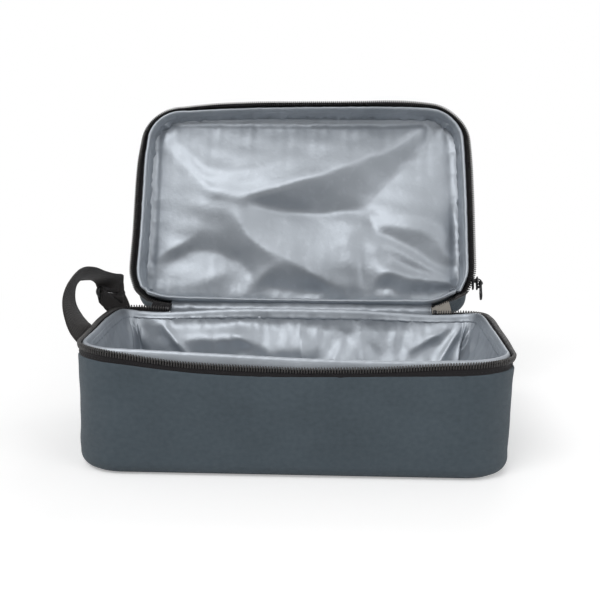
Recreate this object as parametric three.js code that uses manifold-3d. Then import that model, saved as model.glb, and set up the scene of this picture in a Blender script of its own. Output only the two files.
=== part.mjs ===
// Insulated lunch bag, lid open: a zipped tray with a foam core, a silver lining and a side strap.
// Units are millimetres. +Z is up, the front is at -Y, and the underside rests on Z = 0.
import * as THREE from "three";
import { mergeVertices } from "three/addons/utils/BufferGeometryUtils.js";
import Module from "manifold-3d";

// Outer size of the closed bag
const BAG_W = 300;
const BAG_D = 192;
const BASE_H = 73;
const LID_H = 30;
const FRONT_R = 34;
const BACK_R = 16;
const EDGE_R = 9;

// Wall build-up, from the outside in
const SKIN = 1.2;
const FOAM = 5;
const LINING = 0.8;
const FIT = 0.3;

// Zip band between the two fabric edges
const HALF_GAP = 9;
const TAPE_T = 0.6;
const COIL_T = 1.8;
const COIL_W = 2.4;
const COIL_INSET = 0.2;
const COIL_GAP = 0.9;
const ZIP_WRAP = 20;
const STOP_LEN = 3;

// Rolled lining edge that stands inside the zip
const RIM_INSET = 4.6;
const RIM_T = 5;
const RIM_RISE = 8.5;

// Loose film inside the lid. Its edge lies this far above the foam, more at the front than at the hinge.
const FILM_RISE = 3;
const FILM_LEAN = 3.2;
// It is sewn higher still along the front and the sides, and sinks to its plain height over this reach
const FRONT_HANG = 11;
const SIDE_HANG = 7;
const HANG_REACH = 34;
const FOLD_GAIN = 1.3;

// Its folds: across and along in percent of the film's half size, then the height above its edge
const LID_FOLDS = [
  [[-41, 9, 12], [-29, 14, 12.5], [-15, 20, 13], [-3, 28, 13.5], [15, 38, 13.5], [32, 49, 12.5],
    [45, 59, 11], [58, 70, 9], [72, 90, 6], [82, 108, 2]],
  [[-34, 6, 9], [-26, 3, 5], [-13, -0, 2], [-2, -1, 0.5], [15, -0, 0], [32, 2, 0.5], [39, 6, 1],
    [46, 22, 0.5], [59, 43, 0], [72, 66, 0], [86, 92, 0], [91, 102, 0]],
  [[-34, 6, 9], [-38, 5, 11], [-45, 2, 11]],
  [[-45, 2, 11], [-42, -11, 10.5], [-35, -32, 10], [-25, -44, 9.5], [-9, -56, 9], [6, -69, 8],
    [11, -76, 6.5], [24, -83, 4], [34, -89, 1]],
  [[-9, -56, 9], [-17, -62, 8], [-24, -67, 6.5], [-30, -80, 3], [-34, -89, 0.5]],
  [[-20, -82, 0.5], [-3, -86, 0], [11, -86, 0]],
  [[-45, 2, 11], [-58, 8, 10.5], [-68, 1, 9.5], [-65, -14, 8], [-71, -34, 6], [-83, -43, 5],
    [-95, -53, 3]],
  [[-97, -69, 0.5], [-92, -70, 1], [-83, -55, 1.5], [-73, -43, 2], [-66, -43, 2], [-53, -47, 1.5],
    [-47, -52, 1], [-44, -64, 0.5], [-42, -82, 0]],
  [[-44, -50, 1.5], [-37, -59, 1], [-34, -68, 0.5]],
  [[-96, -83, 2.5], [-85, -82, 5], [-71, -81, 7], [-56, -73, 7.5], [-49, -66, 5]],
  [[-97, 90, 2.2], [-80, 61, 5.6], [-65, 32, 9.2], [-54, 23, 10.9], [-35, 27, 11.2], [-13, 39, 11],
    [8, 50, 10]],
  [[-96, 83, 3], [-80, 49, 7], [-58, 16, 11.5], [-50, 12, 12], [-41, 9, 12]],
  [[-87, 78, 4.2], [-77, 61, 6.6], [-65, 43, 9.4], [-51, 36, 10.7], [-18, 49, 10.6]],
  [[39, 0, 1.5], [46, -22, 3], [58, -31, 3.5], [75, -48, 3], [92, -62, 2], [100, -69, 1]],
  [[46, -14, 4], [56, -12, 6.5], [68, -14, 8], [80, -19, 8], [89, -31, 6.5], [94, -44, 5], [99, -52, 3]],
  [[46, -34, 5.5], [54, -44, 6.5], [66, -56, 6.5], [80, -64, 5], [92, -68, 3]],
  [[46, -44, 5.5], [55, -55, 5.5], [67, -61, 5.5], [80, -67, 4], [92, -70, 2.5]],
  [[44, -88, 0.5], [49, -73, 5.5], [54, -67, 8], [61, -70, 7.5], [68, -78, 5], [70, -76, 6],
    [77, -75, 6.5], [89, -78, 4.5], [96, -77, 2]],
  [[58, -84, 0.5], [63, -85, 0], [75, -85, 0], [88, -84, 0]],
  [[39, -16, 3.2], [32, -19, 4.2], [28, -27, 5.4], [31, -52, 6.6], [35, -72, 5.2], [39, -85, 1.2]],
  [[39, -36, 4.2], [41, -57, 4.2], [42, -73, 2.6]],
];

// Lid hinge, set a little behind the back wall
const HINGE_OUT = 2;
const OPEN_DEG = 113.8;

// Slider, on the straight right edge of the lid
const SLIDER_BACK = 22;
const SLIDER_LEN = 11;
const SLIDER_W = 8;
const PLATE_T = 1.1;
const POST_W = 1;
const LUG_T = 1.1;
const LUG_L = 4;
const PIN_R = 0.9;
const PIN_OUT = 2.6;
const PULL_FIT = 0.25;
const BARREL_R = 2;
const BARREL_W = 3.4;
const PULL_L = 22;
const PULL_W = 7;
const PULL_T = 1.6;

// Strap and its ring, placed from the top of the back left corner of the base
const STRAP_W = 25;
const STRAP_T = 1.5;
const RING_BAR_R = 1.75;
const RING_CORNER_R = 2.2;
const RING_SPAN = 30;
const RING_RISE = 13.5;
const TAB_T = 2.6;
const SEAM_GAP = 0.5;
const PATCH_H = 30;

// Smoothness
const CORNER_STEPS = 6;
const EDGE_STEPS = 4;
const BAR_SIDES = 12;
const BEND_STEPS = 10;
const FILM_COLS = 32;
const FILM_ROWS = 20;
const FILM_FINE = 2;
const FILM_PASSES = 400;

const wasm = await Module();
wasm.setup();

const clay = (color, roughness) => new THREE.MeshStandardMaterial({ color, roughness, metalness: 0 });
const FABRIC = clay(0x474f57, 0.95);
const FOAM_GREY = clay(0xd9dcdf, 0.95);
const SILVER = clay(0x9ca2aa, 0.35);
const BLACK_TAPE = clay(0x25262a, 0.9);
const BLACK_COIL = clay(0x1b1c1f, 0.5);
const WEBBING = clay(0x2c2d31, 0.9);
const BLACK_PLASTIC = clay(0x1d1e20, 0.45);
const BLACK_METAL = clay(0x232427, 0.4);

// Closed surface through rows of points. Each row is a closed loop, and open row lists get end caps.
function skin(rows, rowsClosed) {
  const count = rows[0].length;
  const points = rows.flat();
  const faces = [];
  const last = rowsClosed ? rows.length : rows.length - 1;
  for (let i = 0; i < last; i += 1) {
    const next = (i + 1) % rows.length;
    for (let j = 0; j < count; j += 1) {
      const k = (j + 1) % count;
      faces.push([i * count + j, i * count + k, next * count + k]);
      faces.push([i * count + j, next * count + k, next * count + j]);
    }
  }
  if (!rowsClosed) {
    for (const [row, flip] of [[0, true], [rows.length - 1, false]]) {
      const centre = new THREE.Vector3();
      rows[row].forEach((point) => centre.addScaledVector(point, 1 / count));
      points.push(centre);
      for (let j = 0; j < count; j += 1) {
        const k = (j + 1) % count;
        const face = [points.length - 1, row * count + j, row * count + k];
        faces.push(flip ? face.reverse() : face);
      }
    }
  }
  const geometry = new THREE.BufferGeometry();
  geometry.setAttribute("position", new THREE.Float32BufferAttribute(points.flatMap((p) => p.toArray()), 3));
  geometry.setIndex(outward(points, faces).flat());
  return geometry;
}

// Faces turned so that the enclosed volume is positive
function outward(points, faces) {
  const cross = new THREE.Vector3();
  let volume = 0;
  for (const [a, b, c] of faces) {
    volume += points[a].dot(cross.crossVectors(points[b], points[c]));
  }
  return volume > 0 ? faces : faces.map(([a, b, c]) => [a, c, b]);
}

function toManifold(geometry) {
  const bare = new THREE.BufferGeometry();
  bare.setAttribute("position", geometry.getAttribute("position"));
  bare.setIndex(geometry.index);
  const welded = mergeVertices(bare, 1e-4);
  const mesh = new wasm.Mesh({
    numProp: 3,
    vertProperties: new Float32Array(welded.getAttribute("position").array),
    triVerts: new Uint32Array(welded.index.array),
  });
  mesh.merge();
  return new wasm.Manifold(mesh);
}

// One geometry from pieces that overlap, less the pieces to cut away
function joined(adds, cuts) {
  let body = adds.map(toManifold).reduce((sum, piece) => sum.add(piece));
  for (const cut of cuts) {
    body = body.subtract(toManifold(cut));
  }
  const mesh = body.getMesh();
  const geometry = new THREE.BufferGeometry();
  geometry.setAttribute("position", new THREE.Float32BufferAttribute(mesh.vertProperties, 3));
  geometry.setIndex([...mesh.triVerts]);
  return geometry;
}

function boxAt(x0, x1, y0, y1, z0, z1) {
  const box = new THREE.BoxGeometry(x1 - x0, y1 - y0, z1 - z0);
  return box.translate((x0 + x1) / 2, (y0 + y1) / 2, (z0 + z1) / 2);
}

// Round bar from one point to another
function barBetween(start, end, radius) {
  const along = end.clone().sub(start);
  const bar = new THREE.CylinderGeometry(radius, radius, along.length(), BAR_SIDES * 2);
  const turn = new THREE.Quaternion().setFromUnitVectors(new THREE.Vector3(0, 1, 0), along.clone().normalize());
  bar.applyQuaternion(turn);
  return bar.translate(...start.clone().add(end).multiplyScalar(0.5).toArray());
}

// Plan outline of the bag, moved in by inset. hingeSide is +1 where the hinge is at +Y.
// It starts in the middle of the hinge side, so that a zip can be cut out of it.
function planOutline(inset, hingeSide) {
  const halfW = BAG_W / 2;
  const halfD = BAG_D / 2;
  const corners = [[-1, 1, BACK_R, 90], [-1, -1, FRONT_R, 180], [1, -1, FRONT_R, 270], [1, 1, BACK_R, 0]];
  const points = [];
  for (const [sx, sy, radius, from] of corners) {
    for (let step = 0; step <= CORNER_STEPS; step += 1) {
      const angle = THREE.MathUtils.degToRad(from + (90 * step) / CORNER_STEPS);
      const x = sx * (halfW - radius) + (radius - inset) * Math.cos(angle);
      const y = sy * (halfD - radius) + (radius - inset) * Math.sin(angle);
      points.push([x, y * hingeSide]);
    }
  }
  return points;
}

// Tray wall from a closed profile of [inset, height] points
function trayRing(profile, hingeSide) {
  const loops = profile.map(([inset]) => planOutline(inset, hingeSide));
  const rows = loops[0].map((_, i) => profile.map(([, z], j) => new THREE.Vector3(...loops[j][i], z)));
  return skin(rows, true);
}

// Same, but open across the hinge: it ends at endX each side of the middle of the back edge
function trayBand(profile, hingeSide, endX) {
  const backY = (inset) => (BAG_D / 2 - inset) * hingeSide;
  const loops = profile.map(([inset]) => [
    [-endX, backY(inset)],
    ...planOutline(inset, hingeSide),
    [endX, backY(inset)],
  ]);
  const rows = loops[0].map((_, i) => profile.map(([, z], j) => new THREE.Vector3(...loops[j][i], z)));
  return skin(rows, false);
}

// Stack of outlines [inset, height], capped at both ends
function trayStack(levels, hingeSide) {
  const rows = levels.map(([inset, z]) => planOutline(inset, hingeSide).map((p) => new THREE.Vector3(...p, z)));
  return skin(rows, false);
}

// Quarter circle in [inset, height] about the rounded outer edge, from the wall down to the floor
function edgeArc(radius) {
  const arc = [];
  for (let step = 0; step <= EDGE_STEPS; step += 1) {
    const angle = (Math.PI / 2) * (step / EDGE_STEPS);
    arc.push([EDGE_R - radius * Math.cos(angle), EDGE_R - radius * Math.sin(angle)]);
  }
  return arc;
}

// The zip ends on the back edge, a little past the corners
const ZIP_END_X = BAG_W / 2 - BACK_R - ZIP_WRAP;

const FOAM_IN = SKIN + FIT;
const LINING_IN = FOAM_IN + FOAM + FIT;

function band(inset0, inset1, z0, z1) {
  return [[inset0, z0], [inset1, z0], [inset1, z1], [inset0, z1]];
}

// Half the width of the plan outline, moved in by inset, at a distance from the middle to the front
function halfWidthAt(front, inset) {
  const ends = [[front - (BAG_D / 2 - FRONT_R), FRONT_R], [BACK_R - BAG_D / 2 - front, BACK_R]];
  for (const [past, radius] of ends) {
    if (past > 0) {
      const round = radius - inset;
      return BAG_W / 2 - radius + Math.sqrt(Math.max(round * round - past * past, 0));
    }
  }
  return BAG_W / 2 - inset;
}

// Heights of a film that is pulled tight between its fold lines and its edge
function filmHeights(folds) {
  const cols = FILM_COLS * FILM_FINE;
  const rows = FILM_ROWS * FILM_FINE;
  const held = new Map();
  for (const line of folds) {
    for (let i = 0; i + 1 < line.length; i += 1) {
      for (let step = 0; step <= 40; step += 1) {
        const [x, y, h] = line[i].map((value, k) => value + (line[i + 1][k] - value) * (step / 40));
        const col = Math.round(((x / 100 + 1) / 2) * cols);
        const row = Math.round(((y / 100 + 1) / 2) * rows);
        const key = row * (cols + 1) + col;
        if (col > 0 && col < cols && row > 0 && row < rows) {
          held.set(key, Math.max(h * FOLD_GAIN, held.get(key) ?? 0));
        }
      }
    }
  }
  let heights = new Float64Array((cols + 1) * (rows + 1));
  for (let pass = 0; pass < FILM_PASSES; pass += 1) {
    const next = heights.slice();
    for (let row = 1; row < rows; row += 1) {
      for (let col = 1; col < cols; col += 1) {
        const at = row * (cols + 1) + col;
        const near = heights[at - 1] + heights[at + 1] + heights[at - cols - 1] + heights[at + cols + 1];
        next[at] = held.get(at) ?? near / 4;
      }
    }
    heights = next;
  }
  return (col, row) => heights[row * FILM_FINE * (cols + 1) + col * FILM_FINE];
}

// Folded film panel. Its edge reaches the given inset, bottom is the foam's side of a flat film.
function foldedFilm(folds, inset, bottom, hingeSide) {
  const height = filmHeights(folds);
  const halfD = BAG_D / 2 - inset;
  const sections = [];
  for (let row = 0; row <= FILM_ROWS; row += 1) {
    const along = (2 * row) / FILM_ROWS - 1;
    const halfW = halfWidthAt(along * halfD, inset);
    const upper = [];
    for (let col = 0; col <= FILM_COLS; col += 1) {
      const across = (2 * col) / FILM_COLS - 1;
      const hang = Math.max(
        FRONT_HANG * (1 - THREE.MathUtils.smoothstep((1 - along) * halfD, 0, HANG_REACH)),
        SIDE_HANG * (1 - THREE.MathUtils.smoothstep((1 - Math.abs(across)) * halfW, 0, HANG_REACH)),
      );
      const z = bottom + LINING + FILM_RISE + FILM_LEAN * along + hang + height(col, row);
      upper.push(new THREE.Vector3(across * halfW, -along * halfD * hingeSide, z));
    }
    const lower = upper.map((p) => p.clone().setZ(p.z - LINING)).reverse();
    sections.push([...upper, ...lower]);
  }
  return sections;
}

// Skin over the sections of a film, with its two end strips closed
function filmSolid(sections) {
  const points = sections.flat();
  const count = sections[0].length;
  const half = count / 2;
  const faces = [];
  for (let i = 0; i + 1 < sections.length; i += 1) {
    for (let j = 0; j < count; j += 1) {
      const k = (j + 1) % count;
      faces.push([i * count + j, i * count + k, (i + 1) * count + k]);
      faces.push([i * count + j, (i + 1) * count + k, (i + 1) * count + j]);
    }
  }
  for (const [start, flip] of [[0, true], [(sections.length - 1) * count, false]]) {
    for (let j = 0; j + 1 < half; j += 1) {
      const [a, b, c, d] = [j, j + 1, count - 2 - j, count - 1 - j].map((i) => start + i);
      for (const face of [[a, b, c], [a, c, d]]) {
        faces.push(flip ? face.reverse() : face);
      }
    }
  }
  const geometry = new THREE.BufferGeometry();
  geometry.setAttribute("position", new THREE.Float32BufferAttribute(points.flatMap((p) => p.toArray()), 3));
  geometry.setIndex(outward(points, faces).flat());
  return geometry;
}

// Lining of one half: a plain tub, or its walls with a folded film across them
function lining(height, hingeSide, folds) {
  const inside = LINING_IN + LINING;
  if (!folds) {
    return trayStack(
      [[LINING_IN, LINING_IN], [LINING_IN, height], [inside, height], [inside, LINING_IN + LINING]],
      hingeSide,
    );
  }
  const walls = trayRing(band(LINING_IN, inside, LINING_IN, height), hingeSide);
  const film = filmSolid(foldedFilm(folds, LINING_IN + LINING / 2, LINING_IN, hingeSide));
  return joined([walls, film], []);
}

// The pieces of one half of the bag, standing on its flat panel with the rim up
function trayPieces(names, height, hingeSide, folds) {
  const outer = [[0, height], ...edgeArc(EDGE_R)];
  const inner = [[SKIN, height], ...edgeArc(EDGE_R - SKIN)].reverse();
  const floorFoamIn = EDGE_R;
  const rimBottom = height + FIT;
  const rimTop = height + RIM_RISE;
  const rimRound = RIM_T / 2;
  const rim = [[RIM_INSET, rimBottom], [RIM_INSET + RIM_T, rimBottom]];
  for (let step = 0; step <= BEND_STEPS / 2; step += 1) {
    const angle = Math.PI * (step / (BEND_STEPS / 2));
    rim.push([
      RIM_INSET + rimRound + rimRound * Math.cos(angle),
      rimTop - rimRound + rimRound * Math.sin(angle),
    ]);
  }
  const tapeIn = COIL_INSET + (COIL_T - TAPE_T) / 2;
  const coilTop = height + HALF_GAP - COIL_GAP;
  const coilBottom = coilTop - COIL_W;
  const tape = band(tapeIn, tapeIn + TAPE_T, height + FIT, coilBottom - FIT);
  const coil = band(COIL_INSET, COIL_INSET + COIL_T, coilBottom, coilTop);
  const pieces = [
    [names.wall, trayRing([...outer, ...inner], hingeSide), FABRIC],
    [names.panel, trayStack([[EDGE_R + FIT, 0], [EDGE_R + FIT, SKIN]], hingeSide), FABRIC],
    [names.wallFoam, trayRing(band(FOAM_IN, FOAM_IN + FOAM, EDGE_R, height), hingeSide), FOAM_GREY],
    [
      names.panelFoam,
      trayStack([[floorFoamIn, FOAM_IN], [floorFoamIn, FOAM_IN + FOAM]], hingeSide),
      FOAM_GREY,
    ],
    [names.lining, lining(height, hingeSide, folds), SILVER],
    [names.rim, trayRing(rim, hingeSide), SILVER],
    [names.tape, trayBand(tape, hingeSide, ZIP_END_X), BLACK_TAPE],
    [names.coil, trayBand(coil, hingeSide, ZIP_END_X + STOP_LEN + FIT), BLACK_COIL],
  ];
  for (const [name, side] of [[names.stopLeft, -1], [names.stopRight, 1]]) {
    const edges = [ZIP_END_X * side, (ZIP_END_X + STOP_LEN) * side].sort((a, b) => a - b);
    const faces = [COIL_INSET, COIL_INSET + COIL_T].map((inset) => (BAG_D / 2 - inset) * hingeSide);
    faces.sort((a, b) => a - b);
    pieces.push([name, boxAt(...edges, ...faces, coilBottom, coilTop), BLACK_METAL]);
  }
  return pieces;
}

function addPieces(group, pieces) {
  for (const [name, geometry, material] of pieces) {
    const mesh = new THREE.Mesh(geometry, material);
    mesh.name = name;
    group.add(mesh);
  }
}

const HINGE_Y = BAG_D / 2 + HINGE_OUT;
const HINGE_Z = BASE_H + HALF_GAP;
const OPEN = THREE.MathUtils.degToRad(OPEN_DEG);

// A direction or offset that lies in the closed lid's [y, z] plane, turned to the open lid
function opened(y, z) {
  return [y * Math.cos(OPEN) + z * Math.sin(OPEN), z * Math.cos(OPEN) - y * Math.sin(OPEN)];
}

// The two strips that join base and lid across the back. offset moves a strip towards the inside.
function hingeStrip(offset, thickness) {
  const [edgeY, edgeZ] = opened(-HINGE_OUT - SKIN / 2, HALF_GAP - FIT);
  const [pullY, pullZ] = opened(0, -HALF_GAP);
  const start = new THREE.Vector3(0, BAG_D / 2 - SKIN / 2, BASE_H + FIT);
  const end = new THREE.Vector3(0, HINGE_Y + edgeY, HINGE_Z + edgeZ);
  const lead = start.clone().add(new THREE.Vector3(0, 0, HALF_GAP));
  const trail = end.clone().add(new THREE.Vector3(0, pullY, pullZ));
  const curve = new THREE.CubicBezierCurve3(start, lead, trail, end);
  const half = ZIP_END_X - FIT;
  const rows = [];
  for (let step = 0; step <= BEND_STEPS; step += 1) {
    const at = curve.getPoint(step / BEND_STEPS);
    const along = curve.getTangent(step / BEND_STEPS);
    const inward = new THREE.Vector3(0, -along.z, along.y);
    const near = at.clone().addScaledVector(inward, offset - thickness / 2);
    const far = at.clone().addScaledVector(inward, offset + thickness / 2);
    rows.push([[-half, near], [half, near], [half, far], [-half, far]].map(([x, p]) => p.clone().setX(x)));
  }
  return skin(rows, false);
}

// Slider and pull, in the lid's own tray position. x is measured out from the lid's right face.
function zipPieces() {
  const right = BAG_W / 2;
  const midZ = LID_H + HALF_GAP;
  const midY = -BAG_D / 2 + SLIDER_BACK;
  const [y0, y1] = [midY - SLIDER_LEN / 2, midY + SLIDER_LEN / 2];
  const [z0, z1] = [midZ - SLIDER_W / 2, midZ + SLIDER_W / 2];
  const outerFace = right - COIL_INSET + FIT;
  const innerFace = right - COIL_INSET - COIL_T - FIT;
  const plateTop = outerFace + PLATE_T;
  const pinX = plateTop + PIN_OUT;
  const bite = PLATE_T / 2;
  const pin = (radius, width) => barBetween(
    new THREE.Vector3(pinX, midY, midZ - width / 2),
    new THREE.Vector3(pinX, midY, midZ + width / 2),
    radius,
  );
  const lugZ = BARREL_W / 2 + PULL_FIT;
  const lug = (from) => boxAt(
    plateTop - bite, pinX + PIN_R + LUG_T, midY - LUG_L / 2, midY + LUG_L / 2, from, from + LUG_T,
  );
  const slider = joined([
    boxAt(outerFace, plateTop, y0, y1, z0, z1),
    boxAt(innerFace - PLATE_T, innerFace, y0, y1, z0, z1),
    boxAt(innerFace - bite, outerFace + bite, y0, y1, midZ - POST_W / 2, midZ + POST_W / 2),
    lug(midZ - lugZ - LUG_T),
    lug(midZ + lugZ),
    pin(PIN_R, 2 * lugZ + LUG_T),
  ], []);
  const gripStart = midY - LUG_L / 2 - BARREL_R;
  const gripEnd = midY - PULL_L;
  const eyeY = gripEnd + PULL_W / 2;
  const across = (y, radius, depth) => barBetween(
    new THREE.Vector3(pinX - depth, y, midZ),
    new THREE.Vector3(pinX + depth, y, midZ),
    radius,
  );
  const pull = joined([
    pin(BARREL_R, BARREL_W),
    boxAt(pinX - PULL_T / 2, pinX + PULL_T / 2, gripEnd, midY, midZ - BARREL_W / 2, midZ + BARREL_W / 2),
    boxAt(pinX - PULL_T / 2, pinX + PULL_T / 2, eyeY, gripStart, midZ - PULL_W / 2, midZ + PULL_W / 2),
    across(eyeY, PULL_W / 2, PULL_T / 2),
  ], [pin(PIN_R + PULL_FIT, 2 * BARREL_W), across(eyeY, PULL_W / 4, PULL_T)]);
  return [["zip_slider", slider, BLACK_METAL], ["zip_pull", pull, BLACK_METAL]];
}

// Ring frame: the lower bar's middle, the direction of the bars, and the way up to the other bar
const RING_LOW = new THREE.Vector3(-11, -10, 20);
const RING_ALONG = new THREE.Vector3(0.45, 0.86, -0.25).normalize();
const RING_UP = new THREE.Vector3(-0.062, 0.313, 0.948).projectOnPlane(RING_ALONG).normalize();
const RING_TOP = RING_LOW.clone().addScaledVector(RING_UP, RING_RISE);

// Strap middle line and the direction across the strap, from the front seam to the ring
const STRAP_PATH = [
  [-2.4, -126, -2.5, 0, -1, 0],
  [-4, -125.7, 5.5, -0.24, -0.97, -0.09],
  [-7.7, -125.1, 12.9, -0.37, -0.93, -0.01],
  [-14.5, -119.4, 24.3, -0.4, -0.8, 0.45],
  [-18.1, -108.8, 33.4, -0.18, -0.55, 0.81],
  [-19.9, -94.6, 40, 0.19, -0.29, 0.94],
  [-20.8, -78, 43.4, 0.56, -0.09, 0.82],
  [-19.6, -59.6, 43.3, 0.87, -0.11, 0.47],
  [-17.2, -41, 41.3, 0.95, -0.12, 0.2],
  [-15.6, -24, 40.2, 0.8, 0.5, 0],
  [-13.4, -11, 38, 0.52, 0.84, -0.18],
];
const TAB_SEAM = -6;
const TAB_FOOT = -32;

// Flat ribbon through stations of middle and across vectors
function ribbon(stations, width, thickness, steps) {
  const middles = new THREE.CatmullRomCurve3(stations.map(([middle]) => middle));
  const acrosses = new THREE.CatmullRomCurve3(stations.map(([, across]) => across));
  const rows = [];
  for (let step = 0; step <= steps; step += 1) {
    const middle = middles.getPoint(step / steps);
    const along = middles.getTangent(step / steps);
    const across = acrosses.getPoint(step / steps).projectOnPlane(along).setLength(width / 2);
    const out = new THREE.Vector3().crossVectors(along, across).setLength(thickness / 2);
    rows.push([[-1, -1], [1, -1], [1, 1], [-1, 1]].map(([a, b]) => (
      middle.clone().addScaledVector(across, a).addScaledVector(out, b)
    )));
  }
  return skin(rows, false);
}

function ringBar(middle, length, radius) {
  const reach = RING_ALONG.clone().multiplyScalar(length / 2);
  return barBetween(middle.clone().sub(reach), middle.clone().add(reach), radius);
}

// Rounded rectangular ring of round bar
function ringLoop() {
  const centre = RING_LOW.clone().addScaledVector(RING_UP, RING_RISE / 2);
  const normal = new THREE.Vector3().crossVectors(RING_ALONG, RING_UP);
  const halfU = RING_SPAN / 2;
  const halfV = RING_RISE / 2;
  const rows = [];
  for (const [su, sv, from] of [[1, 1, 0], [-1, 1, 90], [-1, -1, 180], [1, -1, 270]]) {
    for (let step = 0; step <= CORNER_STEPS; step += 1) {
      const turn = THREE.MathUtils.degToRad(from + (90 * step) / CORNER_STEPS);
      const ray = RING_ALONG.clone().multiplyScalar(Math.cos(turn)).addScaledVector(RING_UP, Math.sin(turn));
      const middle = centre.clone().addScaledVector(RING_ALONG, su * (halfU - RING_CORNER_R));
      middle.addScaledVector(RING_UP, sv * (halfV - RING_CORNER_R)).addScaledVector(ray, RING_CORNER_R);
      const loop = [];
      for (let side = 0; side < BAR_SIDES; side += 1) {
        const angle = (2 * Math.PI * side) / BAR_SIDES;
        const rim = middle.clone().addScaledVector(ray, RING_BAR_R * Math.cos(angle));
        loop.push(rim.addScaledVector(normal, RING_BAR_R * Math.sin(angle)));
      }
      rows.push(loop);
    }
  }
  return skin(rows, true);
}

// Strap, ring, tab and sewn patch, measured from the top of the base's back left corner
function strapPieces() {
  const eyeR = RING_BAR_R + FIT;
  const holes = [RING_LOW, RING_TOP].map((middle) => ringBar(middle, STRAP_W * 2, eyeR));
  const stations = STRAP_PATH.map((row) => [new THREE.Vector3(...row), new THREE.Vector3(...row.slice(3))]);
  stations.push([RING_TOP.clone().addScaledVector(RING_UP, eyeR + STRAP_T / 2), RING_ALONG]);
  const strap = joined([
    ribbon(stations, STRAP_W, STRAP_T, 5 * BEND_STEPS),
    ringBar(RING_TOP, STRAP_W, eyeR + STRAP_T),
  ], [holes[1]]);
  const flat = RING_ALONG.clone().setZ(0).normalize();
  const face = new THREE.Vector3(-flat.y, flat.x, 0);
  const cornerAxis = new THREE.Vector3(BACK_R, -BACK_R, 0);
  const seam = cornerAxis.clone().addScaledVector(face, BACK_R + FIT + TAB_T / 2);
  const tabRows = [TAB_FOOT, (TAB_FOOT + TAB_SEAM) / 2, TAB_SEAM].map((z) => [seam.clone().setZ(z), flat]);
  tabRows.push([RING_LOW.clone().addScaledVector(RING_UP, -eyeR - TAB_T / 2), RING_ALONG]);
  const tab = joined([
    ribbon(tabRows, STRAP_W, TAB_T, BEND_STEPS),
    ringBar(RING_LOW, STRAP_W, eyeR + STRAP_T),
  ], [holes[0]]);
  const [outX, seamY, seamZ] = STRAP_PATH[0];
  const patchTop = seamZ - SEAM_GAP;
  const half = STRAP_W / 2;
  const patch = boxAt(-FIT - STRAP_T, -FIT, seamY - half, seamY + half, patchTop - PATCH_H, patchTop);
  return [
    ["carry_strap", strap, WEBBING],
    ["strap_ring", ringLoop(), BLACK_PLASTIC],
    ["strap_tab", tab, WEBBING],
    ["strap_patch", patch, WEBBING],
  ];
}

const bag = new THREE.Group();
bag.name = "insulated_lunch_bag";

const base = new THREE.Group();
addPieces(base, trayPieces({
  wall: "base_outer_wall",
  panel: "base_bottom_panel",
  wallFoam: "base_wall_foam",
  panelFoam: "base_bottom_foam",
  lining: "base_lining",
  rim: "base_rim_binding",
  tape: "base_zip_tape",
  coil: "base_zip_coil",
  stopLeft: "base_zip_stop_left",
  stopRight: "base_zip_stop_right",
}, BASE_H, 1));
addPieces(base, [
  ["hinge_panel", hingeStrip(0, SKIN), FABRIC],
  ["hinge_lining", hingeStrip(SKIN / 2 + FIT + LINING / 2, LINING), SILVER],
]);
bag.add(base);

const lid = new THREE.Group();
addPieces(lid, trayPieces({
  wall: "lid_outer_wall",
  panel: "lid_outer_panel",
  wallFoam: "lid_wall_foam",
  panelFoam: "lid_panel_foam",
  lining: "lid_lining",
  rim: "lid_rim_binding",
  tape: "lid_zip_tape",
  coil: "lid_zip_coil",
  stopLeft: "lid_zip_stop_left",
  stopRight: "lid_zip_stop_right",
}, LID_H, -1, LID_FOLDS));
addPieces(lid, zipPieces());
lid.rotation.x = Math.PI - OPEN;
const lidAxis = new THREE.Vector3(0, -HINGE_Y, LID_H + HALF_GAP).applyEuler(lid.rotation);
lid.position.set(0, HINGE_Y, HINGE_Z).sub(lidAxis);
bag.add(lid);

const strap = new THREE.Group();
addPieces(strap, strapPieces());
strap.position.set(-BAG_W / 2, BAG_D / 2, BASE_H);
bag.add(strap);

export default bag;
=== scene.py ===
"""Looks of the insulated lunch bag: soft shells, film linings, zip, strap and studio.

Lengths in the classes are millimetres. Meshes are written in metres, in the frame of the solids.
"""
import logging
import math
from dataclasses import dataclass, field
from enum import Enum
from typing import ClassVar, Optional, Sequence

import bmesh
import bpy
import numpy as np
from mathutils import Matrix, Vector


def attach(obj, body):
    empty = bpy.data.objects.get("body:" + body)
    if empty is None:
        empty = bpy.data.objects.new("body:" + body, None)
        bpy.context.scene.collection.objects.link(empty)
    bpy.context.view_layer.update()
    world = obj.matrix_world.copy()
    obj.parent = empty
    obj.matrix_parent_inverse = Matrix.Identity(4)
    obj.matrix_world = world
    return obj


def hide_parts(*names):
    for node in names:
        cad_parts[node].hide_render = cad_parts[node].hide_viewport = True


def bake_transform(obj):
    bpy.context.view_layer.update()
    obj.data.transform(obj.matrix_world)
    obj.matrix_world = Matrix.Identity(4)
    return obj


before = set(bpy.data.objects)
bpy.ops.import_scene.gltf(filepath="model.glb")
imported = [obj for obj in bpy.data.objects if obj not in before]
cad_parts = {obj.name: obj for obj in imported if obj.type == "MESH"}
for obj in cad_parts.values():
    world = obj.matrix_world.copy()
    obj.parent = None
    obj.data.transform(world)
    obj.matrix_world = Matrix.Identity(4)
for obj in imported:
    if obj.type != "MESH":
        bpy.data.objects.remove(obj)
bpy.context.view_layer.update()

MM = 0.001
LOG = logging.getLogger("lunch_bag")

Knots = Sequence[tuple[float, float]]
Point = tuple[float, float, float]
Colour = tuple[float, float, float, float]
Numbers = np.ndarray | float

FILM_THICK = 0.35


class Level(Enum):
    """Which edge of a half a point follows when the soft opening lifts or drops."""

    WALL = "wall"
    ZIP = "zip"
    RIM = "rim"


class Side(Enum):
    """The two ends of the zip, at the back."""

    LEFT = "left"
    RIGHT = "right"


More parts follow.
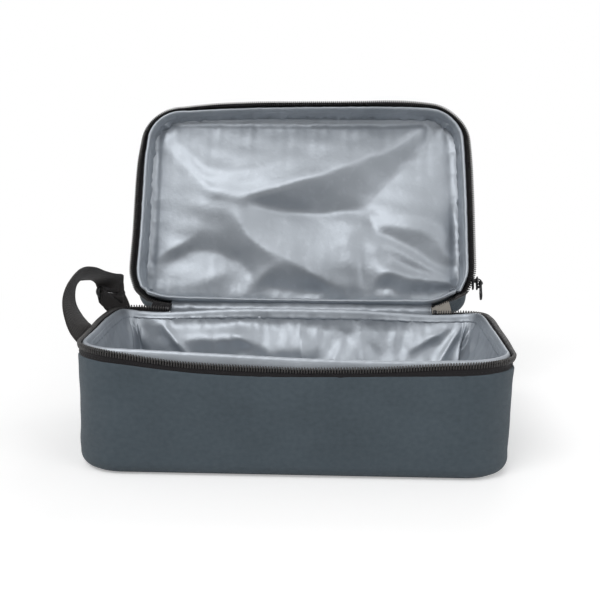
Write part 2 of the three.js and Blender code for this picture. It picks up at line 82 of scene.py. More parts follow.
class View(Enum):
    """Enlarged parts of the photograph on which folds were read: left edge, top edge and zoom."""

    LEFT = (130.0, 100.0, 7.468)
    RIGHT = (300.0, 100.0, 7.468)
    CORNER = (335.0, 205.0, 10.116)


class Hold(Enum):
    """How a sheet of film or fabric is held."""

    LAID = "laid"
    HUNG = "hung"
    STRETCHED = "stretched"


def ease(low: float, high: float, value: np.ndarray) -> np.ndarray:
    """Smooth step of value from low to high."""
    t = np.clip((np.asarray(value, float) - low) / (high - low), 0.0, 1.0)
    return t * t * (3.0 - 2.0 * t)


def ripple(s: np.ndarray, seed: int, lengths: Sequence[float]) -> np.ndarray:
    """Irregular wave along s, about -1 to 1, made of sines.

    Args:
        s: Positions in millimetres.
        seed: Chooses the phases.
        lengths: Wavelengths in millimetres.

    Returns:
        The wave at each position.
    """
    phases = np.random.default_rng(seed).uniform(0.0, 2.0 * math.pi, len(lengths))
    total = sum(np.sin(2.0 * math.pi * s / w + p) for w, p in zip(lengths, phases))
    return total / math.sqrt(len(lengths))


def cloud(x: np.ndarray, y: np.ndarray, seed: int, size: float, count: int = 14) -> np.ndarray:
    """Soft random field over a plane, about -1 to 1.

    Args:
        x: First coordinate, millimetres.
        y: Second coordinate, millimetres.
        seed: Chooses directions and phases.
        size: Typical width of a swell, millimetres.
        count: How many plane waves are added.

    Returns:
        The field at each point.
    """
    rng = np.random.default_rng(seed)
    total = np.zeros(np.broadcast(x, y).shape)
    for _ in range(count):
        turn, phase = rng.uniform(0.0, 2.0 * math.pi, 2)
        step = 2.0 * math.pi / (size * rng.uniform(0.7, 1.6))
        total = total + np.sin(step * (x * math.cos(turn) + y * math.sin(turn)) + phase)
    return total / math.sqrt(count)


@dataclass
class Surface:
    """Points, faces and cloth coordinates of one patch of mesh.

    Attributes:
        points: Corner places in millimetres.
        faces: Corner numbers of each face.
        cloth: Cloth coordinates of each face corner, in metres.
    """

    points: np.ndarray
    faces: list[list[int]]
    cloth: np.ndarray

    @staticmethod
    def joined(parts: Sequence["Surface"]) -> "Surface":
        """Returns one surface with all the parts in it."""
        faces: list[list[int]] = []
        start = 0
        for part in parts:
            faces.extend([[i + start for i in face] for face in part.faces])
            start += len(part.points)
        return Surface(np.concatenate([p.points for p in parts]), faces,
                       np.concatenate([p.cloth for p in parts]))

    def to_object(self, name: str, material: bpy.types.Material, closed: bool = True) -> bpy.types.Object:
        """Makes a smooth shaded object.

        Args:
            name: The piece's name.
            material: Its finish.
            closed: Whether faces are turned outward.

        Returns:
            The new object.
        """
        mesh = bpy.data.meshes.new(name)
        mesh.from_pydata((self.points * MM).tolist(), [], self.faces)
        layer = mesh.uv_layers.new(name="cloth")
        layer.data.foreach_set("uv", self.cloth.astype(np.float32).ravel())
        if closed:
            shape = bmesh.new()
            shape.from_mesh(mesh)
            bmesh.ops.recalc_face_normals(shape, faces=shape.faces)
            shape.to_mesh(mesh)
            shape.free()
        mesh.polygons.foreach_set("use_smooth", np.ones(len(mesh.polygons), bool))
        mesh.materials.append(material)
        piece = bpy.data.objects.new(name, mesh)
        bpy.context.scene.collection.objects.link(piece)
        return piece


def loft(rows: np.ndarray, wrap: bool, start: Optional[np.ndarray] = None,
         end: Optional[np.ndarray] = None, loop: bool = False) -> Surface:
    """Skins rows of points.

    Args:
        rows: Array of rows, columns and coordinates, millimetres.
        wrap: Whether each row is a closed ring.
        start: A point that closes the first row as a fan.
        end: A point that closes the last row as a fan.
        loop: Whether the last row joins the first.

    Returns:
        The surface.
    """
    count, width = rows.shape[:2]
    step_u = np.linalg.norm(np.diff(rows, axis=1), axis=2).mean(axis=0)
    if wrap:
        step_u = np.append(step_u, np.linalg.norm(rows[:, 0] - rows[:, -1], axis=1).mean())
    step_w = np.linalg.norm(np.diff(rows, axis=0), axis=2).mean(axis=1)
    if loop:
        step_w = np.append(step_w, np.linalg.norm(rows[0] - rows[-1], axis=1).mean())
    u = np.concatenate([[0.0], np.cumsum(step_u)]) * MM
    w = np.concatenate([[0.0], np.cumsum(step_w)]) * MM
    cols = width if wrap else width - 1
    r, c = (a.ravel() for a in np.meshgrid(np.arange(count if loop else count - 1),
                                           np.arange(cols), indexing="ij"))
    c1, r1 = (c + 1) % width, (r + 1) % count
    quads = np.stack([r * width + c, r * width + c1, r1 * width + c1, r1 * width + c], axis=1)
    cloth = np.stack([np.stack([u[c], w[r]], 1), np.stack([u[c + 1], w[r]], 1),
                      np.stack([u[c + 1], w[r + 1]], 1), np.stack([u[c], w[r + 1]], 1)], axis=1)
    points, faces, loops = [rows.reshape(-1, 3)], quads.tolist(), [cloth.reshape(-1, 2)]
    extra = count * width
    for centre, row in ((start, 0), (end, count - 1)):
        if centre is None:
            continue
        points.append(np.asarray(centre, float).reshape(1, 3))
        ring = [row * width + i for i in range(width)]
        for i in range(cols):
            faces.append([extra, ring[i], ring[(i + 1) % width]])
            loops.append(np.array([[u[i], w[min(row, len(w) - 1)]]] * 3))
        extra += 1
    return Surface(np.concatenate(points), faces, np.concatenate(loops))


def capped(rings: np.ndarray) -> Surface:
    """Skins closed rings and closes both ends."""
    return loft(rings, True, start=rings[0].mean(axis=0), end=rings[-1].mean(axis=0))


def tubes(paths: np.ndarray, side: np.ndarray, radius: Numbers, sides: int = 6,
          loop: bool = False) -> Surface:
    """Round bars along many short paths.

    Args:
        paths: Array of paths, stations and coordinates, millimetres.
        side: A direction across each path, one for each path or each station.
        radius: Bar radius, or one for each station.
        sides: Faces round a bar.
        loop: Whether each path is closed.

    Returns:
        One surface with all the bars, ends capped.
    """
    number, stations = paths.shape[:2]
    if loop:
        along = np.roll(paths, -1, axis=1) - np.roll(paths, 1, axis=1)
    else:
        along = np.gradient(paths, axis=1)
    along /= np.linalg.norm(along, axis=2, keepdims=True)
    side = side[:, None, :] if side.ndim == 2 else side
    across = side - along * np.sum(side * along, axis=2, keepdims=True)
    across /= np.linalg.norm(across, axis=2, keepdims=True)
    other = np.cross(along, across)
    reach = np.broadcast_to(np.asarray(radius, float), (stations,))[None, :, None, None]
    turn = np.linspace(0.0, 2.0 * math.pi, sides, endpoint=False)[None, None, :, None]
    ring = paths[:, :, None] + reach * (across[:, :, None] * np.cos(turn) + other[:, :, None] * np.sin(turn))
    faces: list[list[int]] = []
    for k in range(number):
        base = k * stations * sides
        for r in range(stations if loop else stations - 1):
            r1 = (r + 1) % stations
            for c in range(sides):
                c1 = (c + 1) % sides
                faces.append([base + r * sides + c, base + r * sides + c1,
                              base + r1 * sides + c1, base + r1 * sides + c])
        if not loop:
            faces.append([base + c for c in range(sides)][::-1])
            faces.append([base + (stations - 1) * sides + c for c in range(sides)])
    corners = sum(len(f) for f in faces)
    spread = np.linspace(0.0, 1.0, corners)
    return Surface(ring.reshape(-1, 3), faces, np.stack([spread, spread], axis=1))


def through(points: np.ndarray, count: int) -> np.ndarray:
    """Smooth curve through points.

    Args:
        points: Array of stations and coordinates of any size.
        count: How many stations to return.

    Returns:
        Stations on a centripetal curve through the points.
    """
    padded = np.concatenate([2 * points[:1] - points[1:2], points, 2 * points[-1:] - points[-2:-1]])
    lengths = np.linalg.norm(np.diff(points[:, :3], axis=0), axis=1)
    knots = np.concatenate([[0.0], np.cumsum(lengths)])
    out = []
    for at in np.linspace(0.0, knots[-1], count):
        i = min(int(np.searchsorted(knots, at, side="right")) - 1, len(lengths) - 1)
        t = (at - knots[i]) / lengths[i]
        p0, p1, p2, p3 = padded[i:i + 4]
        m1, m2 = (p2 - p0) / 2.0, (p3 - p1) / 2.0
        out.append((2 * t**3 - 3 * t**2 + 1) * p1 + (t**3 - 2 * t**2 + t) * m1
                   + (3 * t**2 - 2 * t**3) * p2 + (t**3 - t**2) * m2)
    return np.array(out)


def smoothing(steps: int, step: float, width: float) -> np.ndarray:
    """Bell-shaped weights that sum to 1, for steps on each side of the middle."""
    weights = np.exp(-0.5 * (np.arange(-steps, steps + 1) * step / width) ** 2)
    return weights / weights.sum()


def fit_out(piece: bpy.types.Object, body: str, slot: str, *nodes: str) -> bpy.types.Object:
    """Ties a piece to its body and hides the solids that it stands for.

    Args:
        piece: The piece.
        body: Body it rides on.
        slot: Slot of its finish; not used.
        nodes: Solids it stands for, if any.

    Returns:
        The same piece.
    """
    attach(piece, body)
    if nodes:
        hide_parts(*nodes)
    return piece


# Shader tools and finishes


class Nodes:
    """Adds nodes to one tree and links what is passed to their inputs."""

    def __init__(self, tree: bpy.types.NodeTree) -> None:
        """Keeps the tree and empties it."""
        self.tree = tree
        tree.nodes.clear()

    def add(self, kind: str, inputs: Optional[dict] = None, **settings: object) -> bpy.types.Node:
        """Adds a node.

        Args:
            kind: Blender's node type name.
            inputs: Values or sockets for its inputs, by name or number.
            settings: Plain settings of the node.

        Returns:
            The node.
        """
        made = self.tree.nodes.new(kind)
        for key, value in settings.items():
            setattr(made, key, value)
        for key, value in (inputs or {}).items():
            if isinstance(value, bpy.types.NodeSocket):
                self.tree.links.new(value, made.inputs[key])
            else:
                made.inputs[key].default_value = value
        return made

    def math(self, operation: str, a: object, b: object = 0.0, c: object = 0.0) -> bpy.types.NodeSocket:
        """Adds one sum and returns its result socket."""
        return self.add("ShaderNodeMath", {0: a, 1: b, 2: c}, operation=operation).outputs[0]

    def group(self, tree: bpy.types.NodeTree, **inputs: object) -> bpy.types.Node:
        """Places a shared group and sets its inputs by name."""
        return self.add("ShaderNodeGroup", inputs, node_tree=tree)

    def seen(self) -> bpy.types.NodeSocket:
        """Returns 1 for rays that show the surroundings and 0 for rays that light the bag."""
        path = self.add("ShaderNodeLightPath")
        mirrored = self.math("MAXIMUM", path.outputs["Is Glossy Ray"], path.outputs["Is Transmission Ray"])
        return self.math("MAXIMUM", path.outputs["Is Camera Ray"], mirrored)


def new_material(name: str) -> tuple[bpy.types.Material, Nodes]:
    """Returns an empty material and its nodes."""
    material = bpy.data.materials.new(name)
    material.use_nodes = True
    return material, Nodes(material.node_tree)


def group_tree(name: str, takes: Sequence[tuple[str, str, object]],
               gives: Sequence[tuple[str, str]]) -> tuple[Nodes, bpy.types.Node, bpy.types.Node]:
    """Starts a shader node group.

    Args:
        name: The group's name.
        takes: Name, socket type and value of each input.
        gives: Name and socket type of each output.

    Returns:
        The group's nodes, its input node and its output node.
    """
    tree = bpy.data.node_groups.new(name, "ShaderNodeTree")
    nodes = Nodes(tree)
    for label, kind, value in takes:
        socket = tree.interface.new_socket(label, in_out="INPUT", socket_type=kind)
        if value is not None:
            socket.default_value = value
    for label, kind in gives:
        tree.interface.new_socket(label, in_out="OUTPUT", socket_type=kind)
    return nodes, nodes.add("NodeGroupInput"), nodes.add("NodeGroupOutput")


@dataclass
class Effects:
    """Node groups that several finishes share."""

    weave: bpy.types.NodeTree = field(init=False)
    mottle: bpy.types.NodeTree = field(init=False)
    scuff: bpy.types.NodeTree = field(init=False)

    def __post_init__(self) -> None:
        """Builds the groups once."""
        self.weave = self.build_weave()
        self.mottle = self.build_mottle()
        self.scuff = self.build_scuff()

    @staticmethod
    def build_weave() -> bpy.types.NodeTree:
        """Height of threads that run over and under each other.

        Returns:
            The group.
        """
        nodes, take, give = group_tree(
            "thread_weave",
            [("Cloth", "NodeSocketVector", None), ("Warp", "NodeSocketFloat", 2000.0),
             ("Weft", "NodeSocketFloat", 2000.0), ("Twill", "NodeSocketFloat", 1.0)],
            [("Height", "NodeSocketFloat")])
        xyz = nodes.add("ShaderNodeSeparateXYZ", {0: take.outputs["Cloth"]})
        x = nodes.math("MULTIPLY", xyz.outputs[0], take.outputs["Warp"])
        y = nodes.math("MULTIPLY", xyz.outputs[1], take.outputs["Weft"])
        warp = nodes.math("ABSOLUTE", nodes.math("SINE", nodes.math("MULTIPLY", x, math.pi)))
        weft = nodes.math("ABSOLUTE", nodes.math("SINE", nodes.math("MULTIPLY", y, math.pi)))
        cell = nodes.math("ADD", nodes.math("FLOOR", x),
                          nodes.math("MULTIPLY", nodes.math("FLOOR", y), take.outputs["Twill"]))
        over = nodes.math("GREATER_THAN", nodes.math("FRACT", nodes.math("MULTIPLY", cell, 0.5)), 0.25)
        top = nodes.add("ShaderNodeMix", {0: over, 2: weft, 3: warp})
        low = nodes.math("MULTIPLY", nodes.math("MINIMUM", warp, weft), 0.45)
        height = nodes.math("ADD", nodes.math("MULTIPLY", top.outputs[0], 0.55), low)
        nodes.tree.links.new(height, give.inputs["Height"])
        return nodes.tree

    @staticmethod
    def build_mottle() -> bpy.types.NodeTree:
        """Uneven tone: broad clouds and fine specks.

        Returns:
            The group.
        """
        nodes, take, give = group_tree(
            "soft_mottle",
            [("Place", "NodeSocketVector", None), ("Broad", "NodeSocketFloat", 12.0),
             ("Fine", "NodeSocketFloat", 300.0)],
            [("Tone", "NodeSocketFloat"), ("Speck", "NodeSocketFloat")])
        for label, scale, detail in (("Tone", "Broad", 3.0), ("Speck", "Fine", 2.0)):
            noise = nodes.add("ShaderNodeTexNoise", {"Vector": take.outputs["Place"],
                                                     "Scale": take.outputs[scale], "Detail": detail})
            nodes.tree.links.new(noise.outputs["Fac"], give.inputs[label])
        return nodes.tree

    @staticmethod
    def build_scuff() -> bpy.types.NodeTree:
        """Fine rubbed marks, and on the coil painted highlight streaks: a mask of thin lighter streaks.

        Returns:
            The group.
        """
        nodes, take, give = group_tree(
            "fine_scuff",
            [("Place", "NodeSocketVector", None), ("Scale", "NodeSocketFloat", 180.0),
             ("Amount", "NodeSocketFloat", 0.4)],
            [("Mask", "NodeSocketFloat")])
        stretch = nodes.add("ShaderNodeVectorMath", {0: take.outputs["Place"], 1: (1.0, 0.25, 1.0)},
                            operation="MULTIPLY")
        noise = nodes.add("ShaderNodeTexNoise", {"Vector": stretch.outputs[0],
                                                 "Scale": take.outputs["Scale"], "Detail": 4.0})
        mask = nodes.add("ShaderNodeMapRange", {0: noise.outputs["Fac"], 1: 0.55, 2: 0.75})
        nodes.tree.links.new(nodes.math("MULTIPLY", mask.outputs[0], take.outputs["Amount"]),
                             give.inputs["Mask"])
        return nodes.tree


def tint(red: int, green: int, blue: int) -> Colour:
    """Linear colour of a screen colour from 0 to 255."""
    def linear(value: int) -> float:
        """Linear share of one channel."""
        part = value / 255.0
        return part / 12.92 if part <= 0.04045 else ((part + 0.055) / 1.055) ** 2.4
    return linear(red), linear(green), linear(blue), 1.0


@dataclass(frozen=True)
class ThreadFinish:
    """Woven threads: bag fabric, zip tape, webbing and stitches.

    Attributes:
        dark: Colour in the gaps between threads, as painted shade, and in the darker clouds.
        light: Colour on the threads.
        warp: Threads to the metre across.
        weft: Threads to the metre along.
        depth: Bump distance of the threads, metres.
        twill: Step of the weave from row to row.
        streak: Share of the broad cloud in the colour.
    """

    name: str
    dark: Colour
    light: Colour
    warp: float
    weft: float
    depth: float
    rough: float
    sheen: float
    twill: float
    streak: float

    def build(self, effects: Effects) -> bpy.types.Material:
        """Makes the material.

        Args:
            effects: The shared groups.

        Returns:
            The material.
        """
        material, nodes = new_material(self.name)
        cloth = nodes.add("ShaderNodeUVMap", uv_map="cloth").outputs[0]
        weave = nodes.group(effects.weave, Cloth=cloth, Warp=self.warp, Weft=self.weft, Twill=self.twill)
        mottle = nodes.group(effects.mottle, Place=cloth, Broad=26.0, Fine=330.0)
        tone = nodes.math("MULTIPLY_ADD", mottle.outputs["Tone"], self.streak,
                          nodes.math("MULTIPLY", mottle.outputs["Speck"], 0.5 * (1.0 - self.streak)))
        # The weave's height darkens the gaps between threads and lightens the raised threads: painted shade in
        # the weave.
        tone = nodes.math("MULTIPLY_ADD", weave.outputs["Height"], 0.6 * (1.0 - self.streak), tone)
        colour = nodes.add("ShaderNodeMix", {0: tone, 6: self.dark, 7: self.light}, data_type="RGBA")
        height = nodes.math("MULTIPLY_ADD", mottle.outputs["Speck"], 0.5, weave.outputs["Height"])
        bump = nodes.add("ShaderNodeBump", {"Strength": 0.85, "Distance": self.depth, "Height": height})
        shade = nodes.add("ShaderNodeBsdfPrincipled", {
            "Base Color": colour.outputs[2], "Roughness": self.rough, "Sheen Weight": self.sheen,
            "Sheen Roughness": 0.45, "Specular IOR Level": 0.3, "Normal": bump.outputs[0]})
        nodes.add("ShaderNodeOutputMaterial", {0: shade.outputs[0]})
        return material


@dataclass(frozen=True)
class FilmFinish:
    """Silver film of the lining.

    Attributes:
        dark: Colour of the duller clouds.
        light: Colour of the brighter clouds.
        metallic: Share of mirror-like silver.
        rough_low: Roughness where the film is pulled smooth.
        rough_high: Roughness where it is crinkled.
    """

    name: str
    dark: Colour
    light: Colour
    metallic: float
    rough_low: float
    rough_high: float

    def build(self, effects: Effects) -> bpy.types.Material:
        """Makes the material.

        Args:
            effects: The shared groups.

        Returns:
            The material.
        """
        material, nodes = new_material(self.name)
        place = nodes.add("ShaderNodeTexCoord").outputs["Object"]
        mottle = nodes.group(effects.mottle, Place=place, Broad=22.0, Fine=260.0)
        scuff = nodes.group(effects.scuff, Place=place, Scale=120.0, Amount=0.25)
        tone = nodes.math("ADD", mottle.outputs["Tone"], scuff.outputs["Mask"])
        colour = nodes.add("ShaderNodeMix", {0: tone, 6: self.dark, 7: self.light}, data_type="RGBA")
        rough = nodes.add("ShaderNodeMapRange", {0: mottle.outputs["Tone"], 1: 0.3, 2: 0.7,
                                                 3: self.rough_low, 4: self.rough_high})
        height = nodes.math("MULTIPLY_ADD", mottle.outputs["Speck"], 0.35, mottle.outputs["Tone"])
        bump = nodes.add("ShaderNodeBump", {"Strength": 0.35, "Distance": 0.0012, "Height": height})
        shade = nodes.add("ShaderNodeBsdfPrincipled", {
            "Base Color": colour.outputs[2], "Metallic": self.metallic, "Roughness": rough.outputs[0],
            "Normal": bump.outputs[0]})
        nodes.add("ShaderNodeOutputMaterial", {0: shade.outputs[0]})
        return material


@dataclass(frozen=True)
class HardFinish:
    """Moulded nylon, plastic or painted metal.

    Attributes:
        rubbed_and_highlight: Colour of the rubbed marks on plastic and metal; on the coil, painted highlight.
        grain: Bump distance, metres.
    """

    name: str
    colour: Colour
    rubbed_and_highlight: Colour
    rough: float
    metallic: float
    grain: float

    def build(self, effects: Effects) -> bpy.types.Material:
        """Makes the material.

        Args:
            effects: The shared groups.

        Returns:
            The material.
        """
        material, nodes = new_material(self.name)
        place = nodes.add("ShaderNodeTexCoord").outputs["Object"]
        scuff = nodes.group(effects.scuff, Place=place, Scale=420.0, Amount=0.5)
        mottle = nodes.group(effects.mottle, Place=place, Broad=60.0, Fine=1400.0)
        # Where the mask is on, the lighter colour is rubbed wear on plastic and metal, and painted highlight on
        # the coil.
        colour = nodes.add("ShaderNodeMix", {0: scuff.outputs["Mask"], 6: self.colour, 7: self.rubbed_and_highlight},
                           data_type="RGBA")
        rough = nodes.math("MULTIPLY_ADD", mottle.outputs["Tone"], 0.2, self.rough - 0.1)
        bump = nodes.add("ShaderNodeBump", {"Strength": 0.5, "Distance": self.grain,
                                            "Height": mottle.outputs["Speck"]})
        shade = nodes.add("ShaderNodeBsdfPrincipled", {
            "Base Color": colour.outputs[2], "Metallic": self.metallic, "Roughness": rough,
            "Normal": bump.outputs[0]})
        nodes.add("ShaderNodeOutputMaterial", {0: shade.outputs[0]})
        return material


@dataclass
class Finishes:
    """Every material of the bag, built once."""

    fabric: bpy.types.Material
    thread: bpy.types.Material
    film: bpy.types.Material
    tape: bpy.types.Material
    pale_tape: bpy.types.Material
    coil: bpy.types.Material
    webbing: bpy.types.Material
    plastic: bpy.types.Material
    metal: bpy.types.Material

    @staticmethod
    def build() -> "Finishes":
        """Builds the groups and the materials that use them.

        Returns:
            All the finishes.
        """
        effects = Effects()
        return Finishes(
            fabric=ThreadFinish("grey_oxford", tint(46, 54, 60), tint(100, 113, 122), 1900.0, 1900.0,
                                0.00018, 0.82, 0.12, 1.0, 0.35).build(effects),
            thread=ThreadFinish("grey_thread", tint(58, 66, 73), tint(92, 102, 110), 900.0, 5200.0,
                                0.0001, 0.7, 0.1, 1.0, 0.2).build(effects),
            film=FilmFinish("silver_film", tint(144, 150, 157), tint(179, 185, 192), 0.55,
                            0.42, 0.50).build(effects),
            tape=ThreadFinish("black_tape", tint(18, 17, 19), tint(42, 40, 42), 1500.0, 2600.0,
                              0.00012, 0.85, 0.1, 2.0, 0.3).build(effects),
            pale_tape=ThreadFinish("pale_tape", tint(128, 123, 116), tint(178, 172, 164), 1500.0, 2600.0,
                                   0.00012, 0.85, 0.1, 2.0, 0.3).build(effects),
            # The coil's second colour is painted highlight, streaked along the teeth by the scuff mask.
            coil=HardFinish("black_coil", tint(62, 60, 59), tint(112, 108, 105), 0.3, 0.0,
                            0.00003).build(effects),
            webbing=ThreadFinish("black_webbing", tint(26, 25, 26), tint(62, 58, 56), 620.0, 1250.0,
                                 0.00035, 0.78, 0.18, 1.0, 0.25).build(effects),
            plastic=HardFinish("black_plastic", tint(26, 26, 27), tint(58, 57, 58), 0.4, 0.0,
                               0.00004).build(effects),
            metal=HardFinish("black_metal", tint(34, 34, 37), tint(92, 90, 88), 0.36, 0.6,
                             0.00003).build(effects),
        )


# The two halves of the bag


@dataclass(frozen=True)
class Outline:
    """Plan outline of both halves, from the hinge middle by the left side and the front.

    Attributes:
        front_r: Radius of the two front corners.
        back_r: Radius of the two hinge corners.
    """

    half_w: float = 150.0
    half_d: float = 96.0
    front_r: float = 34.0
    back_r: float = 16.0

    SIDE_POINTS: ClassVar[int] = 60

    def table(self) -> np.ndarray:
        """Points along the outline.

        Returns:
            Rows of x, v and the outward normal, v growing to the front.
        """
        w, d, f, b = self.half_w, self.half_d, self.front_r, self.back_r
        rows: list[tuple[float, float, float, float]] = []

        def line(x0: float, v0: float, x1: float, v1: float, nx: float, nv: float) -> None:
            """Adds points of a straight side."""
            for t in np.linspace(0.0, 1.0, self.SIDE_POINTS, endpoint=False):
                rows.append((x0 + (x1 - x0) * t, v0 + (v1 - v0) * t, nx, nv))

        def arc(cx: float, cv: float, r: float, start: float, end: float) -> None:
            """Adds points of a corner."""
            for a in np.radians(np.linspace(start, end, self.SIDE_POINTS, endpoint=False)):
                rows.append((cx + r * math.cos(a), cv + r * math.sin(a), math.cos(a), math.sin(a)))

        line(0, -d, b - w, -d, 0, -1)
        arc(b - w, b - d, b, 270, 180)
        line(-w, b - d, -w, d - f, -1, 0)
        arc(f - w, d - f, f, 180, 90)
        line(f - w, d, w - f, d, 0, 1)
        arc(w - f, d - f, f, 90, 0)
        line(w, d - f, w, b - d, 1, 0)
        arc(w - b, b - d, b, 0, -90)
        line(w - b, -d, 0, -d, 0, -1)
        rows.append((0.0, -d, 0.0, -1.0))
        return np.array(rows)

    def half_width(self, v: np.ndarray, inset: float) -> np.ndarray:
        """Half the width of the outline drawn in by inset.

        Args:
            v: Places from back to front.
            inset: How far the outline is drawn in.

        Returns:
            Half the width at each place.
        """
        v = np.asarray(v, float)
        front = np.clip(v - (self.half_d - self.front_r), 0.0, self.front_r - inset)
        back = np.clip((self.back_r - self.half_d) - v, 0.0, self.back_r - inset)
        wide = np.full(v.shape, self.half_w - inset)
        near = self.half_w - self.front_r + np.sqrt((self.front_r - inset) ** 2 - front**2)
        far = self.half_w - self.back_r + np.sqrt((self.back_r - inset) ** 2 - back**2)
        return np.where(front > 0, near, np.where(back > 0, far, wide))


class Wave:
    """One value that changes smoothly round the outline."""

    COUNT = 1880
    REACH = 60

    def __init__(self, knots: Knots, length: float, soft: float = 9.0) -> None:
        """Keeps a smoothed table.

        Args:
            knots: Places along the outline and the value there, millimetres.
            length: Whole length of the outline.
            soft: Width of the smoothing, millimetres.
        """
        self.length = length
        self.at = np.linspace(0.0, length, self.COUNT, endpoint=False)
        places, values = zip(*knots)
        raw = np.interp(self.at, places, values, period=length)
        kernel = smoothing(self.REACH, length / self.COUNT, soft)
        self.value = np.convolve(np.pad(raw, self.REACH, mode="wrap"), kernel, mode="valid")

    def __call__(self, s: np.ndarray) -> np.ndarray:
        """Returns the value at each place."""
        return np.interp(s, self.at, self.value, period=self.length)


@dataclass
class Half:
    """One half of the bag: turns a place along the outline, an inset and a height into a point.

    Attributes:
        height: Height of the fabric wall.
        name: Its body, and the start of its pieces' names.
        film_mid: Height of the lining panel, half way along the sides.
        film_lean: How much higher it is at the front.
        film_inset: How far in its edge lies.
        front_hang: How much higher its front edge is sewn.
        side_hang: The same for its side edges.
        hang_reach: How far in from those edges it sinks to its plain height.
        hang_power: How steeply it does so.
    """

    height: float
    name: str
    outline: Outline = field(default_factory=Outline)
    film_mid: float = 8.4
    film_lean: float = 0.0
    film_inset: float = 8.0
    front_hang: float = 0.0
    side_hang: float = 0.0
    hang_reach: float = 9.0
    hang_power: float = 2.0

    LIFTS: ClassVar[dict[Level, Knots]] = {
        Level.WALL: ((0, 0), (120, 0), (159, 1), (200, 1.5), (259, 3.5), (301, 5.5), (328, 5.8), (341, 5.3),
                     (354, 4.4), (366, 2.9), (376, 1.5), (402, -1.1), (428, -2.7), (474, -2.9), (528, -1.7),
                     (575, -0.6), (601, 0.8), (640, 1.0), (700, 1.0), (782, 0.5), (827, 0)),
        Level.ZIP: ((0, 0), (100, 0), (118, 0.6), (135, 2), (159, 2.8), (179, 3.2), (219, 4.4), (259, 5.5),
                    (301, 6), (328, 6.2), (350, 5), (371, 1.2), (393, -1.8), (426, -3.4), (478, -5.0),
                    (528, -3.6), (569, -0.4), (600, 1.2), (640, 1.5), (682, 2), (762, 1.8), (790, 1.4),
                    (806, 1), (827, 0.6), (840, 0)),
        Level.RIM: ((0, 0.5), (50, 0), (85, -2), (110, -3.9), (124, -4.8), (138, -3.5), (159, 0.6),
                    (219, 3.5), (301, 5.5), (340, 5.5), (365, 4.7), (400, 3.3), (436, 1.9), (478, 0.2),
                    (528, -0.6), (569, 0), (610, 1.5), (640, 1.5), (682, 2), (762, 1.5), (790, 0),
                    (806, -2.4), (827, -3.8), (855, -2), (890, 0)),
    }
    FREE_FROM: ClassVar[float] = -4.0
    FREE_TO: ClassVar[float] = 7.5

    def __post_init__(self) -> None:
        """Makes the tables of the outline and of the soft opening."""
        self.rows = self.outline.table()
        steps = np.linalg.norm(np.diff(self.rows[:, :2], axis=0), axis=1)
        self.stations = np.concatenate([[0.0], np.cumsum(steps)])
        self.length = float(self.stations[-1])
        self.lifts = {level: Wave(knots, self.length) for level, knots in self.LIFTS.items()}

    def film_floor(self, x: np.ndarray, v: np.ndarray) -> np.ndarray:
        """Height of the lining panel, without its folds.

        Args:
            x: Places across.
            v: Places from back to front.

        Returns:
            The height at each place.
        """
        front = self.outline.half_d - self.film_inset - v
        side = self.outline.half_width(v, self.film_inset) - np.abs(x)
        near_front = np.clip(1.0 - front / self.hang_reach, 0.0, 1.0)
        near_side = np.clip(1.0 - side / self.hang_reach, 0.0, 1.0)
        near_side = near_side * ease(-self.outline.half_d, -0.5 * self.outline.half_d, v)
        hang = np.maximum(self.front_hang * near_front**self.hang_power,
                          self.side_hang * near_side**self.hang_power)
        return self.film_mid + self.film_lean * v / self.outline.half_d + hang

    def around(self, count: int) -> np.ndarray:
        """Evenly spaced places round the whole outline."""
        return np.linspace(0.0, self.length, count, endpoint=False)

    def plan(self, s: np.ndarray) -> tuple[np.ndarray, ...]:
        """Returns x, v and the outward normal at each place of the outline."""
        s = np.mod(s, self.length)
        x, v, nx, nv = (np.interp(s, self.stations, self.rows[:, i]) for i in range(4))
        size = np.hypot(nx, nv)
        return x, v, nx / size, nv / size

    def lift(self, s: np.ndarray, z: np.ndarray, level: Level) -> np.ndarray:
        """How far the soft opening is lifted.

        Args:
            s: Place along the outline.
            z: Height above the half's outer panel.
            level: Which edge the point follows.

        Returns:
            The lift at each place and height.
        """
        h = self.height
        wall = self.lifts[Level.WALL](s) * ease(0.3 * h, h, z)
        if level is Level.WALL:
            return wall
        share = ease(h + self.FREE_FROM, h + self.FREE_TO, z)
        return wall * (1.0 - share) + self.lifts[level](s) * share

    def tray(self, s: np.ndarray, inset: np.ndarray, z: np.ndarray,
             level: Level) -> tuple[np.ndarray, ...]:
        """Point in the half's own tray, rim up: x, v and z."""
        raise NotImplementedError

    def to_world(self, x: np.ndarray, v: np.ndarray, z: np.ndarray) -> np.ndarray:
        """Tray point to the frame's place at rest."""
        raise NotImplementedError

    def on_middle(self, v: float, z: float) -> np.ndarray:
        """Place in the frame of a point on the half's middle line."""
        return self.to_world(np.array(0.0), np.array(v), np.array(z))

    def place(self, s: np.ndarray, inset: Numbers, z: Numbers, level: Level = Level.WALL) -> np.ndarray:
        """Points in the frame, from places along the outline, distances in and heights above the panel."""
        s, inset, z = np.broadcast_arrays(*(np.asarray(a, float) for a in (s, inset, z)))
        return self.to_world(*self.tray(s, inset, z, level))


